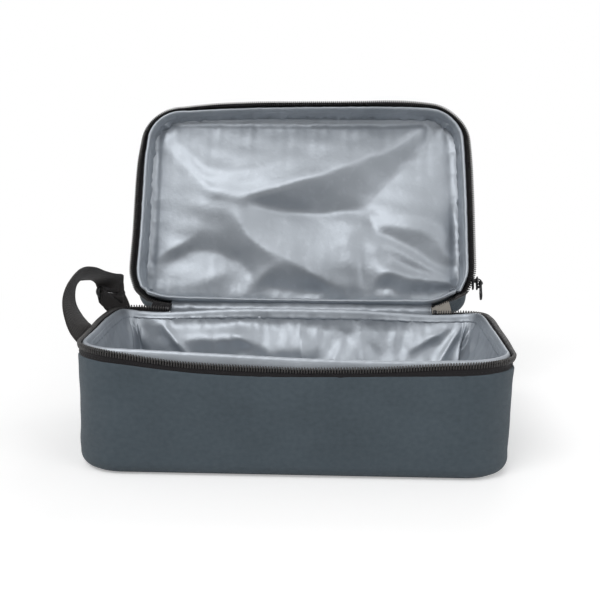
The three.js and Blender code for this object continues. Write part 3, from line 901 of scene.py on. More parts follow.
@dataclass
class BaseHalf(Half):
    """The deep half that stands on the table."""

    height: float = 73.0
    name: str = "base"

    SPLAY: ClassVar[Knots] = (
        (0, 0), (112, 0), (146, 6.0), (163, 7.5), (179, 8.0), (219, 6.0), (259, 2.5), (301, 0), (328, 0),
        (470, 0), (600, 1.0), (616, 2.0), (640, 1.2), (682, 3.2), (722, 4.6), (762, 6.8), (790, 6.0),
        (828, 0))
    BULGE: ClassVar[Knots] = (
        (0, 1.5), (134, 0), (159, 0), (230, 2.0), (301, 0), (354, -0.5), (470, 1.6), (586, -0.3), (640, 0),
        (710, 2.0), (782, 0), (807, 0))
    BULGE_SOFT: ClassVar[float] = 16.0

    def __post_init__(self) -> None:
        """Adds the tables of the side walls."""
        super().__post_init__()
        self.splay = Wave(self.SPLAY, self.length)
        self.bulge = Wave(self.BULGE, self.length, self.BULGE_SOFT)

    def tray(self, s: np.ndarray, inset: np.ndarray, z: np.ndarray,
             level: Level) -> tuple[np.ndarray, ...]:
        """Point in the base, its walls bulged and its back corners splayed."""
        x, v, nx, nv = self.plan(s)
        out = self.bulge(s) * np.sin(math.pi * np.clip(z / self.height, 0.0, 1.0)) - inset
        side = self.splay(s) * ease(0.2 * self.height, 1.1 * self.height, z) * np.sign(x)
        return x + nx * out + side, v + nv * out, z + self.lift(s, z, level)

    def to_world(self, x: np.ndarray, v: np.ndarray, z: np.ndarray) -> np.ndarray:
        """The base stands with its front at minus Y."""
        return np.stack([x, -v, z], axis=-1)


@dataclass
class LidHalf(Half):
    """The shallow half, open on the back hinge."""

    height: float = 30.0
    name: str = "lid"
    film_mid: float = 12.2
    film_lean: float = 5.0
    film_inset: float = 7.3
    front_hang: float = 4.6
    side_hang: float = 3.6
    open_deg: float = 113.8
    hinge: tuple[float, float] = (98.0, 82.0)

    DRAW: ClassVar[Knots] = (
        (0, 0), (120, 0), (134, -5), (146, -9), (159, -5), (170, 0), (209, -0.8), (280, 0), (301, -1.5),
        (328, -2.6), (354, -2.4), (386, -0.8), (430, 0.4), (480, 0.6), (568, 1.0), (590, 0), (613, -2.2),
        (640, -1.6), (667, -0.5), (700, 0), (768, 0), (782, -7), (794, -12.5), (807, -11), (816, -5),
        (826, 0))
    DRAW_SOFT: ClassVar[float] = 6.0
    RIM_TO_HINGE: ClassVar[float] = 9.0

    def __post_init__(self) -> None:
        """Adds the table of the drawn-in corners."""
        super().__post_init__()
        self.draw = Wave(self.DRAW, self.length, self.DRAW_SOFT)
        turn = math.radians(180.0 - self.open_deg)
        self.turn = np.array([[1, 0, 0], [0, math.cos(turn), -math.sin(turn)],
                              [0, math.sin(turn), math.cos(turn)]])

    def tray(self, s: np.ndarray, inset: np.ndarray, z: np.ndarray,
             level: Level) -> tuple[np.ndarray, ...]:
        """Point in the lid. Its edge mirrors the base's, so that the closed halves meet."""
        x, v, nx, nv = self.plan(s)
        out = self.draw(s) * ease(-6.0, 30.0, z) - inset
        return x + nx * out, v + nv * out, z - self.lift(s, z, level)

    def to_world(self, x: np.ndarray, v: np.ndarray, z: np.ndarray) -> np.ndarray:
        """Turns the lid about the hinge to its open place."""
        y, up = self.hinge
        own = np.stack([x, v + y, z - self.height - self.RIM_TO_HINGE], axis=-1)
        return own @ self.turn.T + np.array([0.0, y, up])

    def from_world(self, point: Point) -> np.ndarray:
        """Place in the frame at rest to the tray's x, v and z."""
        y, up = self.hinge
        own = (np.array(point) - np.array([0.0, y, up])) @ self.turn
        return own + np.array([0.0, -y, self.height + self.RIM_TO_HINGE])


@dataclass
class Shell:
    """Padded outer wall and panel of one half, closed, with its foam inside.

    Attributes:
        nodes: Solids it stands for.
        crown: How far the panel swells in its middle.
        edge_r: Radius of the panel's edge.
        core: Thickness of fabric and foam together.
        groove: Depth of the seam's groove.
        groove_deg: Where it runs on the panel's rounded edge.
        groove_wide: Its width, in degrees of that edge.
    """

    finishes: Finishes
    half: Half
    nodes: tuple[str, ...]
    crown: float
    edge_r: float = 9.0
    core: float = 6.3
    columns: int = 588
    groove: float = 0.75
    groove_deg: float = 28.0
    groove_wide: float = 7.0

    def rows(self) -> np.ndarray:
        """Rings from the panel's edge, up the wall, over the lip and down the inside.

        Returns:
            The rings.
        """
        h, r, s = self.half.height, self.edge_r, self.half.around(self.columns)
        profile: list[tuple[float, float]] = []
        for a in np.radians(np.linspace(0.0, 90.0, 12)):
            away = (math.degrees(a) - self.groove_deg) / self.groove_wide
            groove = self.groove * math.exp(-away**2)
            profile.append((r - (r - groove) * math.sin(a), r - (r - groove) * math.cos(a)))
        profile += [(0.0, z) for z in np.linspace(r + 2.5, h - 1.6, max(6, int(h / 4)))]
        profile += [(0.05, h - 0.7), (0.4, h), (1.1, h + 0.25), (2.2, h + 0.1), (4.2, h + 0.3),
                    (5.8, h - 0.2), (self.core, h - 1.6)]
        profile += [(self.core, z) for z in np.linspace(h - 6.0, 12.0, 6)]
        profile += [(8.0, 8.2), (11.0, self.core)]
        rings = [self.half.place(s, i, z) for i, z in profile]
        fabric = cloud(s[None, :], np.array([[z * 2.0] for _, z in profile]), 7, 46.0)
        lip = ease(h - 13.0, h - 2.0, np.array([[z] for _, z in profile]))
        fabric = fabric + 0.5 * lip * ripple(s, 8, (8.9, 13.3, 19.7, 31.0))[None, :]
        wall = ease(r, r + 8.0, np.array([z for _, z in profile])) * np.array(
            [1.0 if i < 0.5 else 0.0 for i, _ in profile])
        centre = self.half.on_middle(0.0, h / 2)
        out = np.array(rings)
        away = out - centre
        away /= np.linalg.norm(away, axis=2, keepdims=True)
        return out + away * (0.35 * fabric * wall[:, None])[:, :, None]

    def panel(self, edge: np.ndarray, z: float, swell: float) -> np.ndarray:
        """Rings from near the middle of a panel out to its edge.

        Args:
            edge: The panel's outer ring, in the frame.
            z: Height of the panel in the tray.
            swell: How far its middle stands out.

        Returns:
            The rings, the edge itself left out.
        """
        middle = self.half.on_middle(0.0, z)
        up = self.half.on_middle(0.0, z + 1.0) - middle
        rings = []
        for k in np.linspace(0.05, 1.0, 14)[:-1]:
            rings.append(middle + (edge - middle) * k + up * swell * (1.0 - k**2.4))
        return np.array(rings)

    def build(self) -> list[bpy.types.Object]:
        """Makes the padded shell and its seam.

        Returns:
            The shell and the seam.
        """
        wall = self.rows()
        under = self.panel(wall[0], 0.0, -self.crown)
        inner = self.panel(wall[-1], self.core, 0.0)[::-1]
        surface = capped(np.concatenate([under, wall, inner]))
        shell = surface.to_object(self.half.name + "_shell", self.finishes.fabric)
        fit_out(shell, self.half.name, "outer_fabric", *self.nodes)
        return [shell, self.seam()]

    def seam(self) -> bpy.types.Object:
        """Stitches in the groove round the panel's edge.

        Returns:
            The stitches.
        """
        s = np.arange(0.0, self.half.length, 3.4)
        ends = s[:, None] + np.array([0.0, 0.7, 1.6, 2.3])[None, :]
        turn, r = math.radians(self.groove_deg), self.edge_r
        deep = np.array([0.35, -0.1, -0.1, 0.35])[None, :]
        reach = r - 0.6 - deep
        path = self.half.place(ends, r - reach * math.sin(turn), r - reach * math.cos(turn))
        up = self.half.on_middle(0.0, 1.0) - self.half.on_middle(0.0, 0.0)
        surface = tubes(path, np.tile(up, (len(s), 1)), 0.28)
        piece = surface.to_object(self.half.name + "_shell_seam", self.finishes.thread)
        return fit_out(piece, self.half.name, "outer_fabric")


ROOT_SHIFT = 3.2
FULL_FLARE = 2.0
FLARE_SOFT = 8.0


def drawn_in(flare: np.ndarray) -> np.ndarray:
    """Share, from 0 to 1, by which a flared zip draws its root inward."""
    return np.clip(flare / FULL_FLARE, 0.0, 1.0)


@dataclass
class ZipHalf:
    """Tape, coil, stitches and end stops of one half of the zip.

    Attributes:
        flare: How far the free tape turns outward, round the outline.
        pitch: Distance between teeth.
        end_s: Where the zip ends, along the outline from the hinge's middle.
        tape_in: How far in the tape stands.
        root_low: How far below the wall's edge its root lies.
        root_rise: How much higher that is where the tape is flared.
        edge_rise: Height of its free edge above the wall's.
        edge_dip: How much lower that is for each millimetre of flare.
    """

    finishes: Finishes
    half: Half
    flare: Knots
    pitch: float = 1.83
    end_s: float = 114.0
    tape_in: float = 1.1
    root_low: float = 1.6
    root_rise: float = 2.4
    edge_rise: float = 5.6
    edge_dip: float = 0.18

    TAPE: ClassVar[Knots] = (
        (0.0, 0.3), (0.25, 0.3), (0.5, 0.3), (0.7, 0.34), (0.88, 0.5), (1.08, 0.45), (1.15, 0.0),
        (1.08, -0.45), (0.88, -0.5), (0.7, -0.34), (0.5, -0.3), (0.25, -0.3), (0.0, -0.3))
    TOOTH: ClassVar[Sequence[Point]] = (
        (-0.2, 0.84, 0.75), (-0.12, 1.08, 1.05), (0.0, 1.28, 0.85), (0.08, 1.38, 0.1), (0.16, 1.3, -0.75),
        (0.24, 1.08, -1.05), (0.3, 0.84, -0.75))

    def __post_init__(self) -> None:
        """Makes the table of the flare."""
        self.turn = Wave(self.flare, self.half.length, FLARE_SOFT)

    def at(self, s: np.ndarray, along: Numbers, off: Numbers) -> np.ndarray:
        """Point of the band, from its root to the teeth.

        Args:
            s: Place along the outline.
            along: 0 at the root, 1 at the tape's edge, more on the teeth.
            off: Distance off the tape's middle, outward.

        Returns:
            Points in millimetres.
        """
        s, along, off = np.broadcast_arrays(*(np.asarray(a, float) for a in (s, along, off)))
        h, f = self.half.height, self.turn(s)
        root_in = self.tape_in + ROOT_SHIFT * drawn_in(f)
        root_z = h - self.root_low + self.root_rise * drawn_in(f)
        edge_in, edge_z = self.tape_in - f, h + self.edge_rise - self.edge_dip * f
        run_in, run_z = edge_in - root_in, edge_z - root_z
        size = np.hypot(run_in, run_z)
        inset = root_in + run_in * along - off * run_z / size
        z = root_z + run_z * along + off * run_in / size
        return self.half.place(s, inset, z, Level.ZIP)

    def span(self, step: float) -> np.ndarray:
        """Places from the left end of the zip to its right end."""
        return np.arange(self.end_s, self.half.length - self.end_s, step)

    def tape(self) -> bpy.types.Object:
        """The woven tape, with its thicker edge under the teeth.

        Returns:
            The tape.
        """
        s = self.span(1.5)
        rows = np.array([self.at(s, a, o) for a, o in self.TAPE])
        piece = capped(rows.transpose(1, 0, 2)).to_object(self.half.name + "_zip_band", self.finishes.tape)
        return fit_out(piece, self.half.name, "zip_tape", self.half.name + "_zip_tape")

    def coil(self) -> bpy.types.Object:
        """One nylon loop for each tooth, over the tape's edge.

        Returns:
            The teeth.
        """
        s = self.span(self.pitch) + 0.4
        path = np.stack([self.at(s + d, a, o) for d, a, o in self.TOOTH], axis=1)
        side = self.at(s + 0.5, 1.0, 0.0) - self.at(s - 0.5, 1.0, 0.0)
        piece = tubes(path, side, 0.5).to_object(self.half.name + "_zip_teeth", self.finishes.coil)
        return fit_out(piece, self.half.name, "zip_coil", self.half.name + "_zip_coil")

    def stitches(self) -> bpy.types.Object:
        """Two sewn rows along the tape.

        Returns:
            The stitches.
        """
        s = self.span(2.9)
        parts = []
        for along, off in ((0.45, 0.42), (0.82, 0.5)):
            ends = s[:, None] + np.array([0.0, 0.5, 1.5, 2.0])[None, :]
            raised = np.array([-0.25, 0.0, 0.0, -0.25])[None, :] + off
            path = self.at(ends, along, raised)
            side = self.at(s, along + 0.2, off) - self.at(s, along, off)
            parts.append(tubes(path, side, 0.2, 5))
        piece = Surface.joined(parts).to_object(self.half.name + "_zip_stitches", self.finishes.tape)
        return fit_out(piece, self.half.name, "zip_tape")

    def stop(self, side: Side) -> bpy.types.Object:
        """Crimped clip on the last teeth at one end.

        Args:
            side: Which end.

        Returns:
            The clip.
        """
        start = self.end_s if side is Side.LEFT else self.half.length - self.end_s
        inward = 1.0 if side is Side.LEFT else -1.0
        s = start + inward * np.linspace(-0.4, 2.6, 7)
        swell = np.array([0.55, 0.95, 1.0, 0.86, 1.0, 0.95, 0.55])
        rows = []
        for a in np.linspace(0.0, 2.0 * math.pi, 16, endpoint=False):
            rows.append([self.at(np.array(si), 1.05 + 0.42 * w * math.sin(a), 1.25 * w * math.cos(a))
                         for si, w in zip(s, swell)])
        clip = capped(np.array(rows).transpose(1, 0, 2))
        piece = clip.to_object(f"{self.half.name}_zip_clip_{side.value}", self.finishes.metal)
        return fit_out(piece, self.half.name, "zip_metal", f"{self.half.name}_zip_stop_{side.value}")

    def build(self) -> list[bpy.types.Object]:
        """Makes all the pieces of this half of the zip."""
        return [self.tape(), self.coil(), self.stitches(),
                self.stop(Side.LEFT), self.stop(Side.RIGHT)]


@dataclass
class RimRoll:
    """Rolled film edge that stands inside the zip, puckered along its inner seam.

    Attributes:
        flare: How far the zip's tape turns outward, round the outline.
        seed: Chooses the puckers.
        SECTION: Inset, rise, share of the puckers, and share by which a flared tape pushes it in.
    """

    finishes: Finishes
    half: Half
    flare: Knots
    seed: int
    columns: int = 760

    SECTION: ClassVar[Sequence[tuple[float, ...]]] = (
        (1.9, -1.8, 0.0, 1.0), (2.3, 1.5, 0.0, 0.7), (2.7, 4.6, 0.1, 0.15), (3.2, 7.0, 0.15, 0.0),
        (3.9, 8.4, 0.15, 0.0), (4.7, 9.0, 0.15, 0.0), (5.5, 8.7, 0.15, 0.0), (6.3, 7.7, 0.15, 0.0),
        (6.8, 6.2, 0.15, 0.0), (7.1, 4.8, 0.2, 0.0), (7.5, 3.2, 0.3, 0.0), (7.9, 2.0, 0.5, 0.0),
        (7.9, 1.0, 0.4, 0.0), (7.2, 0.6, 0.2, 0.0), (5.4, 0.2, 0.0, 0.0))

    def build(self) -> bpy.types.Object:
        """Makes the roll as one closed ring, its foot behind the root of the tape.

        Returns:
            The roll.
        """
        h, s = self.half.height, self.half.around(self.columns)
        behind = ROOT_SHIFT * drawn_in(Wave(self.flare, self.half.length, FLARE_SOFT)(s))
        pucker = ripple(s, self.seed, (6.1, 8.7, 11.9, 17.3))
        sway = ripple(s, self.seed + 1, (23.0, 37.0, 61.0))
        rows = []
        for inset, rise, share, tuck in self.SECTION:
            rows.append(self.half.place(s, inset + tuck * behind + share * (0.45 * pucker + 0.5 * sway),
                                        h + rise + share * 0.5 * np.roll(pucker, 3), Level.RIM))
        surface = loft(np.array(rows), True, loop=True)
        piece = surface.to_object(self.half.name + "_rim_roll", self.finishes.film)
        return fit_out(piece, self.half.name, "silver_lining", self.half.name + "_rim_binding")


@dataclass(frozen=True)
class Crease:
    """One fold on a film wall, from one place and height to another.

    Attributes:
        start: Place along the outline and height.
        end: The same for the other end.
        rise: How far it stands in.
        width: Half width.
    """

    start: tuple[float, float]
    end: tuple[float, float]
    rise: float
    width: float

    def push(self, s: np.ndarray, z: np.ndarray) -> np.ndarray:
        """How far the film stands in.

        Args:
            s: Places along the outline.
            z: Heights.

        Returns:
            The distance at each place and height.
        """
        a, b = np.array(self.start), np.array(self.end)
        run = b - a
        t = np.clip(((s - a[0]) * run[0] + (z - a[1]) * run[1]) / float(run @ run), 0.0, 1.0)
        far = np.hypot(s - a[0] - t * run[0], z - a[1] - t * run[1]) / self.width
        return self.rise * np.exp(-np.abs(far) ** 1.4) * np.sin(math.pi * (0.12 + 0.76 * t))


@dataclass
class FilmBand:
    """Film round the inside of the walls.

    Attributes:
        sag: How far it hangs in below its seam, round the outline.
        drop: Over which height it does so.
        seed: Chooses the small wrinkles.
        slack: Height of the small wrinkles.
        flat: Cut size in metres.
        SMOOTH: Where the film lies smooth against the rolled edge, round the outline.
    """

    finishes: Finishes
    half: Half
    creases: tuple[Crease, ...]
    sag: Knots
    drop: Knots
    seed: int
    slack: float
    flat: tuple[float, float]
    columns: int = 900

    SMOOTH: ClassVar[Knots] = (
        (0, 0), (150, 0), (172, 1), (290, 1), (320, 0), (620, 0), (650, 1), (770, 1), (792, 0))

    def build(self) -> bpy.types.Object:
        """Makes the band, a thin closed sheet.

        Returns:
            The band.
        """
        h, s = self.half.height, self.half.around(self.columns)
        share = np.linspace(0.0, 1.0, max(16, int(h / 1.6)))
        x, v, nx, nv = self.half.plan(s)
        foot = self.half.film_floor(x - nx * self.half.film_inset, v - nv * self.half.film_inset) - 1.2
        smooth = Wave(self.SMOOTH, self.half.length)(s)
        top = h + 2.7 + 2.7 * smooth
        z = top[None, :] + (foot - top)[None, :] * share[:, None]
        at = np.broadcast_to(s[None, :], z.shape)
        push = np.zeros(z.shape)
        for crease in self.creases:
            push = push + crease.push(at, z)
        hold = (ease(0.0, 0.22, share) * ease(1.0, 0.86, share))[:, None]
        wrinkle = cloud(at, z * 1.6, self.seed, 34.0) * 0.7 + cloud(at, z * 0.7, self.seed + 1, 13.0) * 0.3
        gather = ripple(s, self.seed + 2, (7.3, 9.9, 14.0, 21.0))[None, :] * np.exp(-share * 9.0)[:, None]
        deep = Wave(self.drop, self.half.length)(s) + 3.0 * ripple(s, self.seed + 3, (57.0, 83.0, 131.0))
        hang = Wave(self.sag, self.half.length)(s)[None, :] * ease(0.0, 1.0, (h - 1.0 - z) / deep[None, :])
        seam = np.interp(z - h, (-6.0, 0.0, 2.7), (8.4, 7.4, 7.1))
        plain = np.interp(z - h, (-6.0, -1.4, 0.6, 3.0, 6.0), (8.4, 8.2, 7.7, 7.35, 7.0))
        inset = seam + (plain - seam) * smooth[None, :]
        inset = inset + (push + hang + self.slack * wrinkle) * hold + 0.5 * gather * (1.0 - smooth)[None, :]
        pull = ripple(s, self.seed + 4, (8.7, 12.9, 19.0, 31.0))[None, :] * ease(0.35, 0.85, share)[:, None]
        inset = inset + 0.7 * pull * ease(1.0, 0.93, share)[:, None]
        inset = np.maximum(inset, 6.9)
        inner = self.half.place(at, inset, z, Level.RIM)
        outer = self.half.place(at, inset - FILM_THICK, z, Level.RIM)
        surface = loft(np.concatenate([inner, outer[::-1]]), True, loop=True)
        piece = surface.to_object(self.half.name + "_lining_band", self.finishes.film)
        fit_out(piece, self.half.name, "silver_lining", self.half.name + "_lining")
        return piece


@dataclass
class Relief:
    """Heights on a grid.

    Attributes:
        height: The heights, rows along v.
    """

    x0: float
    v0: float
    step: float
    height: np.ndarray

    def at(self, x: np.ndarray, v: np.ndarray) -> np.ndarray:
        """Height at any points, blended between the grid's own.

        Args:
            x: Places across.
            v: Places from back to front.

        Returns:
            The height at each place.
        """
        rows, cols = self.height.shape
        fx = np.clip((x - self.x0) / self.step, 0.0, cols - 1.001)
        fv = np.clip((v - self.v0) / self.step, 0.0, rows - 1.001)
        ix, iv = fx.astype(int), fv.astype(int)
        kx, kv = fx - ix, fv - iv
        h = self.height
        return ((h[iv, ix] * (1 - kx) + h[iv, ix + 1] * kx) * (1 - kv)
                + (h[iv + 1, ix] * (1 - kx) + h[iv + 1, ix + 1] * kx) * kv)


@dataclass
class FilmPanel:
    """Loose film over the inside of a panel, folded as it was creased and pulled.

    Attributes:
        folds: Lines of x, v and height above the flat film.
        seed: Chooses the small wrinkles.
        flat: Cut size in metres.
        gain: Factor on the heights.
        soften: Width of the rounding of the folds.
        blur: Grid steps on each side that the rounding takes in.
    """

    finishes: Finishes
    half: Half
    folds: tuple[tuple[Point, ...], ...]
    seed: int
    flat: tuple[float, float]
    held: Hold
    gain: float = 1.0
    soften: float = 2.5
    blur: int = 10

    STEPS: ClassVar[Sequence[float]] = (6.0, 3.0, 1.5)
    PULLS: ClassVar[int] = 260

    def solve(self, step: float, first: Optional[Relief]) -> Relief:
        """Pulls the film tight between its fold lines and its edge, as a stretched skin.

        Args:
            step: Grid spacing.
            first: A coarser answer to start from.

        Returns:
            The heights.
        """
        outline = self.half.outline
        gx = np.arange(-outline.half_w, outline.half_w + 0.5 * step, step)
        gv = np.arange(-outline.half_d, outline.half_d + 0.5 * step, step)
        px, pv = np.meshgrid(gx, gv)
        total, count = np.zeros(px.shape), np.zeros(px.shape)
        for line in self.folds:
            pts = np.array(line, float)
            for a, b in zip(pts[:-1], pts[1:]):
                t = np.linspace(0.0, 1.0, max(2, int(np.hypot(*(b - a)[:2]) / 0.5)))[:, None]
                dense = a + (b - a) * t
                at = (np.rint((dense[:, 1] - gv[0]) / step).astype(int),
                      np.rint((dense[:, 0] - gx[0]) / step).astype(int))
                np.add.at(total, at, dense[:, 2])
                np.add.at(count, at, 1.0)
        value = total / np.maximum(count, 1.0)
        outside = (np.abs(px) >= outline.half_width(pv, self.half.film_inset)) | (
            np.abs(pv) >= outline.half_d - self.half.film_inset)
        held = outside | (count > 0)
        value[outside] = 0.0
        height = first.at(px, pv) if first else np.zeros(px.shape)
        for _ in range(self.PULLS):
            near = (np.roll(height, 1, 0) + np.roll(height, -1, 0) + np.roll(height, 1, 1)
                    + np.roll(height, -1, 1)) / 4.0
            height = np.where(held, value, near)
        return Relief(gx[0], gv[0], step, height)

    def relief(self) -> Relief:
        """Heights of the whole panel, rounded at the folds.

        Returns:
            The heights on the finest grid.
        """
        made: Optional[Relief] = None
        for step in self.STEPS:
            made = self.solve(step, made)
        kernel = smoothing(self.blur, made.step, self.soften)
        for axis in (0, 1):
            made.height = np.apply_along_axis(
                lambda row: np.convolve(np.pad(row, self.blur, mode="edge"), kernel, "valid"), axis,
                made.height)
        return made

    def build(self) -> bpy.types.Object:
        """Makes the panel, a thin closed sheet.

        Returns:
            The panel.
        """
        outline = self.half.outline
        t = np.linspace(0.0, 1.0, 150)
        t = 0.6 * t + 0.4 * (1.0 - np.cos(math.pi * t)) / 2.0
        v = (outline.half_d - self.half.film_inset) * (2.0 * t - 1.0)
        u = np.linspace(0.0, 1.0, 240)
        u = 2.0 * (0.7 * u + 0.3 * (1.0 - np.cos(math.pi * u)) / 2.0) - 1.0
        wide = outline.half_width(v, self.half.film_inset)
        px, pv = wide[:, None] * u[None, :], np.broadcast_to(v[:, None], (len(v), len(u)))
        height = self.gain * self.relief().at(px, pv)
        from_side, from_end = wide[:, None] - np.abs(px), v[-1] - np.abs(pv)
        from_edge = np.minimum(from_side, from_end)
        across = ripple(px, self.seed, (10.0, 14.5, 23.0, 38.0)) * np.exp(-from_end / 19.0)
        along = ripple(pv + 500.0, self.seed, (17.0, 25.0, 38.0, 61.0)) * np.exp(-from_side / 12.0)
        pucker = 0.55 * across * ease(2.0, 11.0, from_end) + 0.55 * along * ease(0.0, 6.0, from_side)
        gather = ripple(px, self.seed + 2, (6.7, 9.1, 13.9)) * np.exp(-from_end / 5.0)
        gather = gather + ripple(pv, self.seed + 3, (7.1, 10.3, 15.1)) * np.exp(-from_side / 5.0)
        pucker = pucker + 0.3 * gather * ease(0.0, 3.0, from_edge)
        height = height * ease(0.0, 10.0, from_edge) + pucker * ease(0.0, 5.0, from_edge)
        height = height + 0.22 * cloud(px, pv, self.seed + 1, 26.0) * ease(0.0, 12.0, from_edge)
        z = self.half.film_floor(px, pv) + np.maximum(height, -0.9)
        top = self.half.to_world(px, pv, z)
        low = self.half.to_world(px, pv, z - FILM_THICK)
        rows = np.concatenate([top, low[:, ::-1]], axis=1)
        surface = loft(rows, True)
        edge = [surface_row(rows[i], self.flat) for i in (0, -1)]
        piece = Surface.joined([surface, *edge]).to_object(self.half.name + "_lining_panel", self.finishes.film)
        weld(piece)
        fit_out(piece, self.half.name, "silver_lining", self.half.name + "_lining")
        return piece


def surface_row(ring: np.ndarray, flat: tuple[float, float]) -> Surface:
    """Thin end strip that closes a flattened ring of points.

    Args:
        ring: Points of the ring, the second half running back over the first.
        flat: Cut size that the cloth coordinates are spread over.

    Returns:
        The strip.
    """
    half = len(ring) // 2
    faces = [[i, i + 1, 2 * half - 2 - i, 2 * half - 1 - i] for i in range(half - 1)]
    cloth = np.zeros((4 * len(faces), 2)) + np.array(flat)[None, :] * 0.5
    return Surface(ring, faces, cloth)


def weld(piece: bpy.types.Object) -> None:
    """Joins doubled points and turns the faces outward."""
    shape = bmesh.new()
    shape.from_mesh(piece.data)
    bmesh.ops.remove_doubles(shape, verts=shape.verts, dist=1e-6)
    bmesh.ops.recalc_face_normals(shape, faces=shape.faces)
    shape.to_mesh(piece.data)
    shape.free()


@dataclass
class ZipFold:
    """Tape folded across from one half to the other, where the zip ends."""

    finishes: Finishes
    base_zip: ZipHalf
    lid_zip: ZipHalf
    side: Side
    reach: float = 14.0
    thick: float = 0.5

    OUT: ClassVar[Point] = (0.0, -0.5, 0.85)

    def build(self) -> bpy.types.Object:
        """Makes the fold, from the base's tape to the lid's.

        Returns:
            The fold.
        """
        end = self.base_zip.end_s
        s = np.linspace(end - 1.0, end + self.reach, 18)
        if self.side is Side.RIGHT:
            s = self.base_zip.half.length - s
        low, high = self.base_zip.at(s, 1.0, -0.9), self.lid_zip.at(s, 1.0, -0.9)
        across = np.linspace(0.0, 1.0, 15)
        arch = np.sin(math.pi * across)[:, None, None] * np.array(self.OUT)
        swell = 1.6 + 0.7 * ripple(s, 77, (5.3, 8.1, 13.0))
        top = low + (high - low) * across[:, None, None] + arch * swell[None, :, None]
        under = top - np.array(self.OUT) * self.thick
        surface = capped(np.concatenate([top, under[::-1]]).transpose(1, 0, 2))
        finish = self.finishes.pale_tape if self.side is Side.RIGHT else self.finishes.tape
        piece = surface.to_object(f"zip_fold_{self.side.value}", finish)
        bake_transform(piece)
        return piece


@dataclass
class BackHinge:
    """Fabric strip and silver strip that join the halves across the back."""

    finishes: Finishes
    lid: LidHalf
    half_x: float = 113.6
    flat: tuple[float, float] = (0.2272, 0.0176)
    sections: int = 150
    seed: int = 5

    def on_lid(self, v: float, z: float) -> np.ndarray:
        """The y and z of a place on the lid's back side."""
        return self.lid.on_middle(v, z)[1:]

    def rows(self, knots: Sequence[np.ndarray], thick: float, slack: float) -> np.ndarray:
        """Cross sections of one strip along X.

        Args:
            knots: The y and z of its ends and, between them, of the two points that bend it.
            thick: Thickness.
            slack: Height of its wrinkles.

        Returns:
            Rows of closed sections.
        """
        start, lead, trail, end = knots
        t = np.linspace(0.0, 1.0, 25)[:, None]
        line = ((1 - t) ** 3 * start + 3 * (1 - t) ** 2 * t * lead + 3 * (1 - t) * t**2 * trail + t**3 * end)
        along = np.gradient(line, axis=0)
        along /= np.linalg.norm(along, axis=1, keepdims=True)
        inward = np.stack([-along[:, 1], along[:, 0]], axis=1)
        hold = np.sin(math.pi * t[:, 0]) ** 0.8
        rows = []
        for x in np.linspace(-self.half_x, self.half_x, self.sections):
            wave = ripple(x + 9.0 * t[:, 0], self.seed, (11.0, 17.0, 29.0, 47.0))
            wrinkle = slack * hold * (wave * 0.6 + 0.5)
            near = line + inward * (wrinkle - thick / 2)[:, None]
            far = line + inward * (wrinkle + thick / 2)[:, None]
            ring = np.concatenate([near, far[::-1]])
            rows.append(np.column_stack([np.full(len(ring), x), ring]))
        return np.array(rows)

    def build(self) -> list[bpy.types.Object]:
        """Makes both strips, bending between the halves.

        Returns:
            The fabric strip and the silver strip.
        """
        made = []
        end = self.lid.on_middle(-95.4, 30.3) * MM
        back = np.array([95.4, 72.0])
        cloth = (back, back + np.array([1.0, 5.5]), self.on_lid(-94.0, 33.0) - np.array([1.0, 5.0]),
                 self.on_lid(-95.4, 29.0))
        front = np.array([93.0, 76.5])
        lining = (front, front + np.array([8.5, 1.0]), self.on_lid(-91.6, 35.5) + np.array([0.4, -7.9]),
                  self.on_lid(-91.6, 35.5))
        for name, node, knots, thick, slack, finish, slot in (
                ("hinge_strip", "hinge_panel", cloth, 1.2, 0.35, self.finishes.fabric, "outer_fabric"),
                ("hinge_film", "hinge_lining", lining, 0.5, 0.45, self.finishes.film, "silver_lining")):
            piece = capped(self.rows(knots, thick, slack)).to_object(name, finish)
            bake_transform(piece)
            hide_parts(node)
            made.append(piece)
        return made


